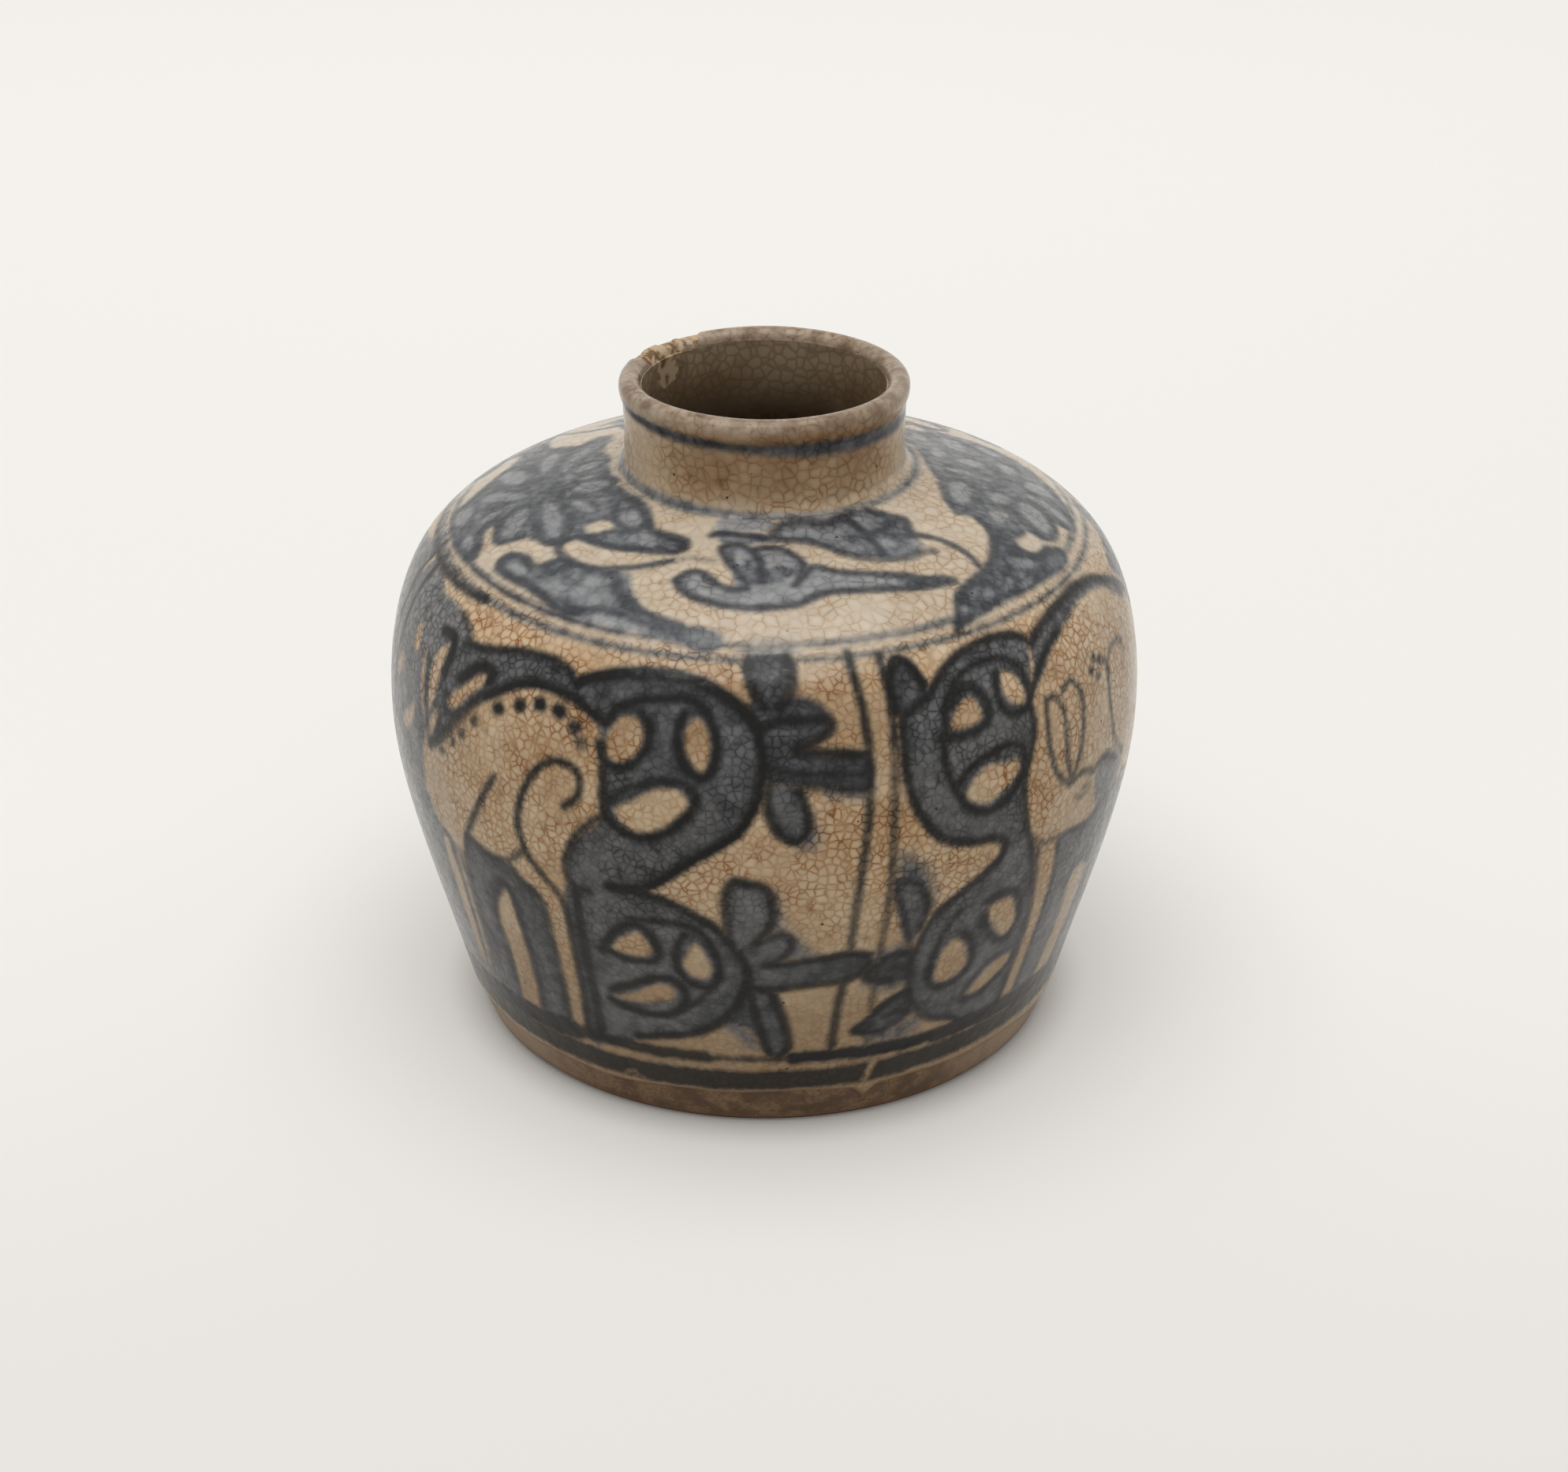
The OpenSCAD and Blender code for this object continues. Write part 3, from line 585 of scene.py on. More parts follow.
FLOWER_B_PETALS = [
    [(64.4, 82.6), (66, 84), (69.6, 85.3), (75, 85.9), (79.2, 85.2), (79.4, 83.4), (76, 82.4), (70, 82),
     (66, 81.9)],
    [(72, 79.2), (75, 80.4), (79, 80), (79.6, 78), (77, 77.2), (73.4, 77.6)],
    [(63.6, 78), (67, 79.4), (70, 78.6), (70.4, 76.8), (67, 76), (64, 76.6)],
    [(69.6, 71.4), (69.8, 73.6), (73, 75.8), (77.6, 76.4), (79.4, 75.2), (78.2, 73), (75.4, 71.4),
     (72, 70.9)],
    [(79.6, 70), (80.4, 73), (82, 75.6), (84, 75), (84.4, 72), (83, 69.4), (81, 68.9)],
    [(84.4, 83), (85, 86), (87.4, 86.8), (89.4, 85.4), (89, 83), (86.6, 82.2)],
    [(92, 82), (94.6, 84.4), (98, 84), (99.4, 82), (96, 80.2), (93, 80.4)],
    [(91, 77), (95, 78.6), (100, 78), (99, 76), (94.4, 75.6)],
    [(86, 74.6), (88.4, 76), (92, 74.4), (93, 72), (90, 70.8), (87, 72)],
    [(94, 86.4), (98, 88), (104, 87.4), (106, 85.6), (100, 85)],
    [(103, 82), (107, 84), (113, 83.8), (116, 82.2), (110, 80.4)],
    [(102.6, 77.4), (106, 79), (111, 78.8), (110, 77), (105, 75.8)],
    [(109, 86.2), (112, 87.8), (118, 87.2), (119, 85.6), (113, 85)],
]

FLOWER_B_LINES = [
    (0.8, 0.7, [(59.8, 82), (64, 84.4), (70, 86), (76, 86.8), (81, 87)]),
    (0.9, 0.55, [(62, 81.4), (68, 81.2), (74, 81.3), (79, 81.6), (81, 83.4)]),
    (0.8, 0.6, [(68.4, 74.6), (72, 76.6), (77, 77), (80, 76)]),
    (0.8, 0.65, [(68.6, 72.6), (69, 70.8), (72, 70.2), (75.6, 70.8), (78.4, 72.4)]),
    (0.7, 0.55, [(79.6, 76), (79.4, 72), (79, 69), (81, 68.3), (84.6, 69.4)]),
    (2.2, 0.4, [(84, 79), (88, 78.4), (91, 78.6)]),
]

# Leaf scroll between the flower heads: its washes and their darker places
SPRAY_WASH = [
    (0.86, [(-70, 87), (-66, 89.4), (-60, 89.7), (-50, 89.6), (-42, 88.6), (-37, 86.8), (-33, 85),
     (-27, 84.7), (-22.6, 84.5), (-20.8, 83), (-22, 81.7), (-27, 81.1), (-33, 80.3), (-40, 79.5), (-47, 79),
     (-50.6, 79), (-54, 81), (-60, 83)]),
    (0.74, [(-58.8, 71), (-57.6, 72.3), (-54.6, 73), (-52, 72.8), (-50.4, 72.2), (-48.6, 73), (-47.4, 74.6),
     (-45.4, 75.6), (-38, 75.6), (-30, 76.4), (-27.6, 75), (-25, 72.8), (-21, 71), (-15, 69.9),
     (-8.6, 69.4), (-6.8, 68), (-8.6, 66.4), (-14, 67), (-22, 67.8), (-30, 67.8), (-36, 67.9),
     (-38.6, 68.2), (-43, 69.1), (-48, 69.6), (-54, 69.4), (-57.4, 69.9)]),
    (0.38, [(-18.8, 76.6), (-17, 78.2), (-14.2, 78.5), (-11.4, 77.4), (-9.3, 76.4), (-6.4, 75.9),
     (-7.4, 79.4), (-10, 82), (-11.4, 84), (-7, 84.4), (-1, 84), (4.5, 83.8), (7.4, 82.4), (9.4, 80.4),
     (12, 79.8), (16, 78.5), (20, 77.7), (25, 76.8), (30, 75.7), (33, 74.5), (37, 73.6), (38.8, 72.7),
     (34, 72.9), (28.6, 73.4), (23.6, 74.1), (17.8, 74.6), (12.8, 74.8), (9, 74), (6, 73.2), (0, 72.7),
     (-5, 72.7), (-10, 73.2), (-14.4, 74.1), (-17.2, 75.2)]),
    (0.72, [(-16, 86.9), (-12, 87), (0, 86.6), (3, 86), (2, 85), (-4, 84.6), (-11, 84.4), (-14, 85.6)]),
    (0.2, [(-15, 87), (-14.5, 89.6), (-6, 89.8), (2, 89.2), (3, 87.6), (-4, 87.2)]),
    (0.78, [(2.6, 87), (6, 88.8), (12, 89.6), (20, 89.4), (27, 89.4), (34, 89.4), (39, 88.4), (44.6, 85.3),
     (43, 84), (41.4, 82.6), (40, 79.6), (34, 78.7), (28.6, 79.4), (23.6, 80.5), (19.2, 82), (15.6, 83.6),
     (11, 84.8), (6, 85.2), (2, 85.4)]),
    (0.96, [(33.6, 66.4), (35.4, 69), (37.6, 70.8), (42, 72), (48, 72.9), (52, 74), (56, 75.8), (59, 77.4),
     (61.6, 79.8), (65, 81), (70, 80.6), (70, 76), (66.4, 73.6), (62, 73.7), (60, 72.8), (61.8, 70.8),
     (65.6, 70.8), (68, 69.9), (69.8, 68.6), (69, 67.4), (66, 66.8), (56, 67.4), (44, 67.4)]),
]

SPRAY_DARK = [
    [(27.6, 88.6), (29, 84), (31, 80.8), (36, 80.4), (40, 81.4), (43, 83.6), (44, 85.4), (40, 87.6),
     (37, 89), (34.6, 86.4), (31, 88.4)],
    [(28, 75.6), (32, 74.8), (37, 73.2), (33, 73.2), (29, 73.8)],
    [(-9, 82.6), (-6, 80), (-3, 77.4), (2, 77), (6, 78.6), (4, 80.4), (0, 79.6), (-4, 81.6)],
    [(-47, 73), (-45, 75.2), (-40, 75.2), (-42, 73.4)],
]

# Dabs that mottle the leaf scroll: angle, place up the wall, half of the width and the height, strength
SPRAY_DABS = [
    (-13.7, 76.3, 2, 0.8, 0.2), (-11.3, 74.6, 2, 0.7, 0.15), (-2.8, 73.8, 1.8, 0.6, 0.1),
    (1.4, 74.6, 1.5, 0.6, 0.15), (5.7, 75.8, 1.4, 0.7, 0.15), (9, 75.5, 1.2, 0.7, 0.2),
    (12.3, 78, 2, 0.8, 0.25), (17.9, 76.1, 1.8, 0.7, 0.2), (23.1, 75.6, 1.6, 0.6, 0.25),
    (-6.1, 81.6, 1.4, 1.3, 0.2), (-1.6, 81.4, 0.9, 1.4, 0.25), (4.7, 82.4, 1.8, 0.9, 0.2),
    (7.4, 79, 1, 1, 0.25), (5.2, 79.2, 2, 0.9, 1), (-8.5, 83, 1, 0.8, 0.75), (-7.5, 85.5, 3, 0.5, 0.3),
    (7.5, 86.5, 2.5, 0.7, 0.4), (12.3, 87, 2, 0.7, 0.4), (16.4, 85.6, 2, 0.9, 0.4),
    (20.8, 83.6, 1.5, 0.8, 0.4), (23.8, 82.2, 1.6, 0.8, 0.35), (17.9, 88.8, 2, 0.5, 0.4),
    (38, 84.8, 5, 1.3, 1), (31.4, 87.6, 1.8, 0.9, 0.3), (32, 82.4, 1.8, 0.7, 0.5),
    (39.6, 80.7, 1.3, 0.7, 0.25), (41.5, 69.9, 2, 0.6, 0.45), (49, 69.7, 1.6, 0.7, 0.45),
    (54.7, 70.4, 2, 0.7, 0.35), (36.6, 68.5, 1.2, 0.6, 0.4), (53, 68.4, 2.4, 0.5, 0.35),
    (62, 68.9, 1.6, 0.6, 0.5), (-52, 70.9, 2.5, 0.7, 0.3), (-44.6, 72.8, 4.2, 1, 0.95),
    (-48, 74.6, 1.6, 0.6, 0.4), (-42.6, 74.8, 2.6, 0.6, 0.95), (-41.4, 71.2, 1.8, 0.5, 0.35),
    (-30.6, 75.8, 1.3, 0.7, 0.45), (-35, 73.4, 1.7, 0.9, 0.3), (-31.6, 74.8, 0.9, 1, 0.35),
    (-36.6, 71.3, 1.6, 0.7, 0.3), (-40.6, 70.4, 1.2, 0.5, 0.35), (-43.6, 70.6, 1.2, 0.5, 0.3),
    (-32, 70.8, 1.2, 0.9, 0.3), (-28.3, 73.8, 1, 0.8, 0.4), (-27.9, 68.6, 3, 0.6, 0.3),
    (-22.6, 69.8, 2, 0.5, 0.35), (-9.6, 68, 3, 1, 0.6), (-47.4, 71.6, 2.6, 0.6, 0.95),
    (-34.5, 68.9, 2.6, 0.8, 0.95), (-26.4, 71.7, 1.5, 1.2, 0.9), (-42.5, 86, 3.4, 0.9, 0.4),
    (-34, 83.1, 3.2, 1.1, 0.5),
]

# Places of the leaf scroll that are left bare, lighter places, and its lines
SPRAY_PALE = [
    [(-51.4, 81.4), (-50.6, 83.2), (-47.6, 84), (-44.6, 83.2), (-45.6, 81.7), (-48.6, 80.9)],
]

SPRAY_LIGHT = [
    [(29.4, 87), (30, 88.6), (33, 88.8), (33.4, 87.2), (31.4, 86.4)],
    [(29.6, 81.8), (31, 83), (34, 82.8), (34.2, 81.6), (31.6, 81.2)],
    [(10, 86.4), (14, 87.6), (20, 87), (22, 85), (17, 84.6)],
    [(-55, 70.6), (-54, 71.6), (-52.4, 71.6), (-51.4, 70.8), (-53, 70.2)],
    [(-33, 68.2), (-30, 69.2), (-24, 69), (-18, 68.4), (-24, 67.9)],
    [(39, 69.4), (42, 70.4), (45, 70), (43, 68.8)],
    [(53, 71), (56, 71.8), (58.6, 71), (58, 69.4), (55, 69.8)],
    [(-48, 85.6), (-46, 87), (-42.4, 87.2), (-39.6, 86), (-40.8, 84.8), (-44.8, 84.6)],
    [(-38, 82.4), (-36, 83.6), (-31, 83.4), (-29, 82.6), (-33, 81.8)],
]

SPRAY_LINES = [
    (1.15, 0.9, [(-15.4, 86), (-12.8, 86.5), (-7, 86.3), (-1.4, 86.1), (1.4, 85.8)]),
    (1.3, 0.65, [(1.4, 85.8), (2.8, 87.2), (5.8, 88.4), (11.4, 88.9), (15.8, 88.5), (21.4, 87.9),
     (27, 88.2), (31, 88.9)]),
    (1.15, 0.75, [(1.4, 85.5), (7, 85.1), (11.4, 84.7), (15.8, 83.6), (19.4, 81.9), (23.6, 80.3),
     (28.6, 79.2), (34.4, 78.5), (38.8, 78.7), (41, 78.3)]),
    (1.3, 0.9, [(28, 88.4), (29, 86), (29.6, 83), (29.2, 80.6)]),
    (1.3, 0.9, [(37.6, 88.8), (41.2, 87), (44.6, 85.2), (43, 84), (41.4, 82.4), (44, 80.8)]),
    (1.2, 0.9, [(34, 84.8), (37, 84.8), (40, 85.6)]),
    (1, 0.85, [(29.4, 84.2), (33, 84.6), (36.4, 83.2), (40.6, 82.4)]),
    (1, 0.9, [(41.2, 82.2), (45, 80.2), (46.6, 78), (47, 75.6), (46.2, 73.2)]),
    (1.15, 0.9, [(-18.6, 76.6), (-17, 78.1), (-14.2, 78.5), (-11.4, 77.4), (-9.3, 76.4), (-6.4, 75.8),
     (-3.6, 76.1)]),
    (1.15, 0.9, [(-18.7, 76.6), (-17, 75.2), (-14.2, 74.1), (-10, 73.3), (-4.4, 72.8), (0, 72.8),
     (6.4, 73.3), (9.4, 74.2), (12.8, 74.9), (18, 74.7), (23.6, 74.2), (28.6, 73.5), (34.4, 73),
     (38.6, 72.7)]),
    (1.1, 0.9, [(-3.6, 77), (-6.8, 79.6), (-10, 81.9), (-11.2, 83.7), (-7.2, 84.3), (-3.6, 83.4),
     (-1, 80.8), (-0.6, 77.4)]),
    (1.1, 0.9, [(-3.4, 83.4), (0.4, 84), (4.4, 83.6), (7.2, 82.4), (9.2, 80.6), (8, 78.2), (6.4, 76.6)]),
    (1.1, 0.9, [(8.4, 78), (10.4, 79.4), (12.2, 79.7), (15.8, 78.6), (20, 77.8), (25, 76.9), (30, 75.7),
     (33, 74.4), (37, 73.6), (38.6, 72.8)]),
    (1.15, 0.9, [(-49.4, 79.6), (-50.8, 77.8), (-49.2, 76.3), (-45, 75.5), (-38, 75.5), (-31, 77),
     (-26.6, 78.4), (-22, 80)]),
    (0.7, 0.45, [(-22, 80), (-17.6, 81), (-12, 81)]),
    (1.15, 0.85, [(-64, 88), (-58, 88.8), (-50, 88.6), (-44, 88), (-38, 86.4), (-33, 85), (-27, 84.7),
     (-22.6, 84.4), (-21, 83), (-22.4, 81.8), (-27, 81.2), (-34.4, 80.5), (-41.4, 79.8), (-49, 79.6)]),
    (1, 0.8, [(-53, 86.8), (-47, 84.6), (-42, 84), (-38, 84.1)]),
    (0.9, 0.75, [(-45, 82), (-42.6, 82.8), (-38, 84)]),
    (1.3, 0.9, [(-51, 72.4), (-54, 72.7), (-57, 72.1), (-58.3, 71), (-57, 69.9), (-53.6, 69.7), (-48, 69.8),
     (-43, 69.3), (-38.6, 68.5)]),
    (1, 0.85, [(-50.6, 72.3), (-48.4, 72.9), (-46.6, 74.4), (-44.6, 75.4)]),
    (1.6, 0.75, [(-33, 76), (-30, 74.4), (-27.4, 72.4), (-23, 70.6), (-15, 69.4)]),
    (1, 0.85, [(-38.6, 68.4), (-36, 68.3), (-33, 69.2), (-29.6, 69.9), (-25, 69.8), (-20, 69.2),
     (-14, 68.4)]),
    (1, 0.9, [(33.6, 66.2), (35.4, 68.8), (37.6, 70.7), (42, 71.9), (48, 72.8), (54, 74.8), (59, 77.2),
     (62, 79.8)]),
    (0.9, 0.7, [(40, 69), (44, 70.6), (47, 69.4), (51, 71.2), (55, 70), (58, 68.6), (63, 69)]),
    (0.9, 0.75, [(56, 72.6), (60, 71), (64, 70), (68.4, 68.8)]),
]


def meridian(node):
    """Outline of a turned node, from its lowest point up its outside to its innermost point."""
    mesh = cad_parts[node].data
    spots = {}
    for vertex in mesh.vertices:
        if abs(vertex.co.y) < TINY and vertex.co.x > -TINY:
            spots[vertex.index] = (round(vertex.co.x / MM, 4), round(vertex.co.z / MM, 4))
    links = {}
    for edge in mesh.edges:
        ends = [spots.get(number) for number in edge.vertices]
        if None not in ends and ends[0] != ends[1]:
            links.setdefault(ends[0], set()).add(ends[1])
            links.setdefault(ends[1], set()).add(ends[0])
    path = [min(links, key=lambda spot: spot[1])]
    path.append(max(links[path[0]], key=lambda spot: spot[1]))
    last = min(links)
    while path[-1] != last:
        path += [spot for spot in links[path[-1]] if spot != path[-2]]
    return np.array(path)


def smooth_path(points):
    """A smooth curve through points of uneven spacing."""
    gaps = np.linalg.norm(np.diff(points, axis=0), axis=1)
    slopes = np.diff(points, axis=0) / gaps[:, None]
    before = gaps[:-1, None]
    after = gaps[1:, None]
    between = (slopes[:-1] * after + slopes[1:] * before) / (after + before)
    ways = np.vstack([slopes[:1], between, slopes[-1:]])
    out = []
    for gap, start, end, leave, arrive in zip(gaps, points[:-1], points[1:], ways[:-1], ways[1:]):
        count = max(2, math.ceil(gap / PATH_STEP))
        share = np.linspace(0, 1, count, endpoint=False)[:, None]
        rest = 1 - share
        first = (1 + 2 * share) * rest ** 2 * start + share * rest ** 2 * gap * leave
        second = share ** 2 * (3 - 2 * share) * end - share ** 2 * rest * gap * arrive
        out.append(first + second)
    out.append(points[-1:])
    return np.vstack(out)


def round_spot(around, radius, height):
    """Spots in space from their angles round the jar, their radii and their heights."""
    angle = np.radians(around)
    return np.stack([radius * np.sin(angle), -radius * np.cos(angle), height], -1)


def place(around, up):
    """Spots in space on the glazed outside."""
    return round_spot(around, np.interp(up, PATH_UP, PATH[:, 0]), np.interp(up, PATH_UP, PATH[:, 1]))


def ripple(angle, waves, up=1):
    """Waves round the jar, each with its height, its number and its shift for each millimetre up."""
    return sum(height * np.sin(number * angle + shift * up) for height, number, shift in waves)


def nudged(points):
    """Chart places as they come to lie on the jar, where the shoulder's drawings open out a little."""
    around, up = np.array(points, float).T
    share = np.clip((up - NUDGE_UP) / NUDGE_RUN, 0, 1)
    lift = WALL_LIFT + share * (SHOULDER_LIFT * np.cos(np.radians(around)) - WALL_LIFT)
    return np.stack([around * (1 + SHOULDER_SPREAD * share), up + lift], 1)


def spline(points, closed=False):
    """A smooth line through given points."""
    knots = nudged(points)
    if closed:
        knots = np.vstack([knots[-1], knots, knots[0], knots[1]])
    else:
        knots = np.vstack([2 * knots[0] - knots[1], knots, 2 * knots[-1] - knots[-2]])
    out = []
    for before, start, end, after in zip(knots[:-3], knots[1:-2], knots[2:-1], knots[3:]):
        count = max(2, int(math.hypot(*(end - start)) / LINE_STEP))
        share = np.linspace(0, 1, count, endpoint=False)[:, None]
        square = (2 * before - 5 * start + 4 * end - after) * share ** 2
        cubic = (3 * start - before - 3 * end + after) * share ** 3
        out.append((2 * start + (end - before) * share + square + cubic) / 2)
    out.append(knots[-2:-1])
    return np.vstack(out)


def distance(spots, line):
    """Distance of each spot from the nearest stretch of a line in space."""
    best = np.full(len(spots), np.inf)
    for start, end in zip(line[:-1], line[1:]):
        way = end - start
        share = np.clip(((spots - start) @ way) / max(way @ way, TINY), 0, 1)
        gap = spots - start - share[:, None] * way
        best = np.minimum(best, np.einsum("ij,ij->i", gap, gap))
    return np.sqrt(best)


def near(field, line, turn):
    """The spots of a field within reach of a line, their angles beside it and their distances from it."""
    low = line.min(0)
    high = line.max(0)
    middle = (low[0] + high[0]) / 2
    around = (field["around"] - turn - middle + 180) % 360 - 180 + middle
    radius = np.interp(line[:, 1], PATH_UP, PATH[:, 0]).min()
    margin = math.degrees(REACH / radius)
    hit = (around > low[0] - margin) & (around < high[0] + margin)
    hit &= (field["up"] > low[1] - REACH) & (field["up"] < high[1] + REACH)
    index = np.nonzero(hit)[0]
    gap = distance(field["spot"][index], place(line[:, 0] + turn, line[:, 1]))
    return index, around[index], gap


def inside(around, up, line):
    """True for each spot inside a closed line."""
    odd = np.zeros(len(around), bool)
    for (around_0, up_0), (around_1, up_1) in zip(line, np.roll(line, -1, 0)):
        if up_0 != up_1:
            crossing = (around_1 - around_0) * (up - up_0) / (up_1 - up_0) + around_0
            odd ^= ((up_0 > up) != (up_1 > up)) & (around < crossing)
    return odd


def deepen(field, depth_name, strength_name, index, depth, strength):
    """Keeps the deepest brush mark at each spot, and its strength."""
    deeper = depth > field[depth_name][index]
    field[depth_name][index] = np.where(deeper, depth, field[depth_name][index])
    field[strength_name][index] = np.where(deeper, strength, field[strength_name][index])


def brush(field, lines, turn=0):
    """Paints lines, each with its width, its strength and its points."""
    for width, strength, points in lines:
        index, _, gap = near(field, spline(points), turn)
        deepen(field, "line", "ink", index, width / 2 - gap, strength)


def scrape(field, lines, turn):
    """Takes lines, each with its width and its points, out of the brush lines."""
    for width, points in lines:
        index, _, gap = near(field, spline(points), turn)
        field["line"][index] = np.minimum(field["line"][index], gap - width / 2)


def area(field, points, turn):
    """Depth inside a closed line, below zero outside it, for the spots near it."""
    line = spline(points, closed=True)
    index, around, gap = near(field, line, turn)
    return index, np.where(inside(around, field["up"][index], line), gap, -gap)


def wash(field, washes, turn=0, blur=1):
    """Paints washes, each with its strength and the points of its edge, which may be blurred."""
    for strength, points in washes:
        index, depth = area(field, points, turn)
        deepen(field, "wash", "tint", index, depth / blur, strength)


def reserve(field, shapes, turn):
    """Takes shapes out of the washes, so that the ground shows."""
    for points in shapes:
        index, depth = area(field, points, turn)
        field["wash"][index] = np.minimum(field["wash"][index], -depth)


def retint(field, shapes, strength, turn=0):
    """Gives the washes inside shapes another strength, with a soft edge."""
    for points in shapes:
        index, depth = area(field, points, turn)
        share = np.clip(depth / SOFT_EDGE + 0.5, 0, 1)
        field["tint"][index] += share * (strength - field["tint"][index])


def dab(field, dabs, turn):
    """Gives the washes inside ovals another strength."""
    ways = np.linspace(0, 2 * np.pi, OVAL_POINTS, endpoint=False)
    for around, up, wide, high, strength in dabs:
        oval = np.stack([around + wide * np.cos(ways), up + high * np.sin(ways)], 1)
        retint(field, [oval], strength, turn)


def edging(shapes, strength):
    """Lines that run round petals."""
    return [(PETAL_LINE, strength, points + points[:1]) for points in shapes]


def ring(field, up, width, strength, sway, tilt):
    """Paints a line right round the jar, as brushed on a turning wheel."""
    angle = np.radians(field["around"])
    height = up + tilt * np.sin(angle) + sway * ripple(angle, RING_SWAYS, up)
    half = width / 2 * (1 + ripple(angle, RING_SWELLS, up))
    index = np.arange(len(angle))
    deepen(field, "wash", "tint", index, half - np.abs(field["up"] - height), strength)


def paint():
    """All painting on the jar, as depths and strengths at each spot of the skin."""
    field = {"around": AROUND.ravel(), "up": UP.ravel()}
    field["spot"] = place(field["around"], field["up"])
    for name in ("line", "wash"):
        field[name] = np.full(UP.size, -REACH)
    for name in ("ink", "tint"):
        field[name] = np.zeros(UP.size)
    for turn in PANEL_TURNS:
        wash(field, ROCK_A_WASH + FROND_A_WASH + BEAST_A_WASH, turn)
        wash(field, ROCK_B_WASH + FROND_B_WASH + BEAST_B_WASH, turn)
        wash(field, FROND_A_SHADE + FROND_B_SHADE, turn, SHADE_BLUR)
        retint(field, ROCK_A_DARK, ROCK_DARKER, turn)
        reserve(field, ROCK_A_HOLES + BEAST_A_PALE + ROCK_B_HOLES + BEAST_B_PALE, turn)
        brush(field, ROCK_A_LINES + FROND_A_LINES + BEAST_A_LINES, turn)
        brush(field, ROCK_B_LINES + FROND_B_LINES + BEAST_B_LINES, turn)
        brush(field, DIVIDER_LINES, turn)
        brush(field, DIVIDER_LINES, turn + DIVIDER_TURN)
        brush(field, BAND_LINES, turn)
        scrape(field, BAND_BREAKS, turn)
    wash(field, FLOWER_A_WASH + FLOWER_B_WASH)
    for turn in SPRAY_TURNS:
        wash(field, SPRAY_WASH, turn)
    retint(field, FLOWER_A_PETALS, PETALS_A)
    retint(field, FLOWER_B_PETALS, PETALS_B)
    brush(field, edging(FLOWER_A_PETALS, PETAL_INK_A) + edging(FLOWER_B_PETALS, PETAL_INK_B))
    brush(field, FLOWER_A_LINES + FLOWER_B_LINES)
    for turn in SPRAY_TURNS:
        retint(field, SPRAY_DARK, SPRAY_DARKER, turn)
        retint(field, SPRAY_LIGHT, SPRAY_LIGHTER, turn)
        dab(field, SPRAY_DABS, turn)
        reserve(field, SPRAY_PALE, turn)
        brush(field, SPRAY_LINES, turn)
    for stroke in RINGS:
        ring(field, *stroke)
    brush(field, RING_LINES)
    return field


def glaze_edge(around):
    """Where the glaze ends above the heel: uneven, with one run that drips over it."""
    drip = DRIP_DEPTH * np.exp(-((around - DRIP_AROUND) / DRIP_WIDTH) ** 2)
    return EDGE_LIFT + ripple(np.radians(around), EDGE_WAVES) - drip


def steps(low, high):
    """Rows from one place up the wall to another."""
    return np.linspace(low, high, round((high - low) / ROW_STEP) + 1)


# Outside of the glaze, carried on below the heel for the drip
outline = meridian("outer_glaze")
foot_low = np.array([[outline[0, 0] - HEEL_INSET, outline[0, 1] - HEEL_DROP]])
PATH = smooth_path(np.vstack([foot_low, outline]))
PATH_UP = np.concatenate([[0], np.cumsum(np.linalg.norm(np.diff(PATH, axis=0), axis=1))])
PATH_UP -= np.interp(outline[0, 1], PATH[:HEEL_POINTS, 1], PATH_UP[:HEEL_POINTS])
path_way = np.gradient(PATH, axis=0)
PATH_OUT = np.stack([path_way[:, 1], -path_way[:, 0]], 1) / np.linalg.norm(path_way, axis=1)[:, None]

# Rows and columns of the skin
rows_body = steps(0, SEAM_UP)
rows_shoulder = steps(SEAM_UP, NECK_UP)
rows_neck = steps(NECK_UP, PATH_UP[-1])
rows = np.concatenate([rows_body, rows_shoulder[1:], rows_neck[1:]])
columns = np.arange(COLUMNS) * 360 / COLUMNS - 180
AROUND, UP = np.meshgrid(columns, rows)
UP = UP + glaze_edge(AROUND) * np.clip(1 - UP / EDGE_BLEND, 0, 1)


def skin_spots(depth):
    """Spots of the skin, sunk below the glazed outside by a depth at each."""
    radius = np.interp(UP, PATH_UP, PATH[:, 0]) - depth * np.interp(UP, PATH_UP, PATH_OUT[:, 0])
    height = np.interp(UP, PATH_UP, PATH[:, 1]) - depth * np.interp(UP, PATH_UP, PATH_OUT[:, 1])
    return round_spot(AROUND, radius, height)


# The coat thins out to nothing at its lower edge, and where the rim is chipped
chip_spots = [round_spot(*spot).tolist() for spot in CHIP_SPOTS]
edge_rise = np.clip(rows / EDGE_HEIGHT, 0, 1)[:, None]
thickness = GLAZE_T * (1 - (1 - edge_rise) ** 2)
hollow = HOLLOW_MIDDLE + ripple(np.radians(AROUND), HOLLOWS, UP)
chip_gap = np.min([np.linalg.norm(skin_spots(0) - spot, axis=2) for spot in chip_spots], 0)
chip = CHIP_DEPTH * np.clip((CHIP_REACH - chip_gap) / CHIP_SLOPE, 0, 1)
outer = skin_spots(np.minimum(GLAZE_T - GLAZE_LEAST, GLAZE_T - thickness + hollow + chip))
inner = skin_spots(np.full(UP.shape, GLAZE_T))
along = np.gradient(outer, axis=0)
across = np.roll(outer, -1, 1) - np.roll(outer, 1, 1)
normals = np.cross(across, along)
normals /= np.linalg.norm(normals, axis=2)[..., None]
field = paint()
field["rise"] = np.repeat(rows, COLUMNS)


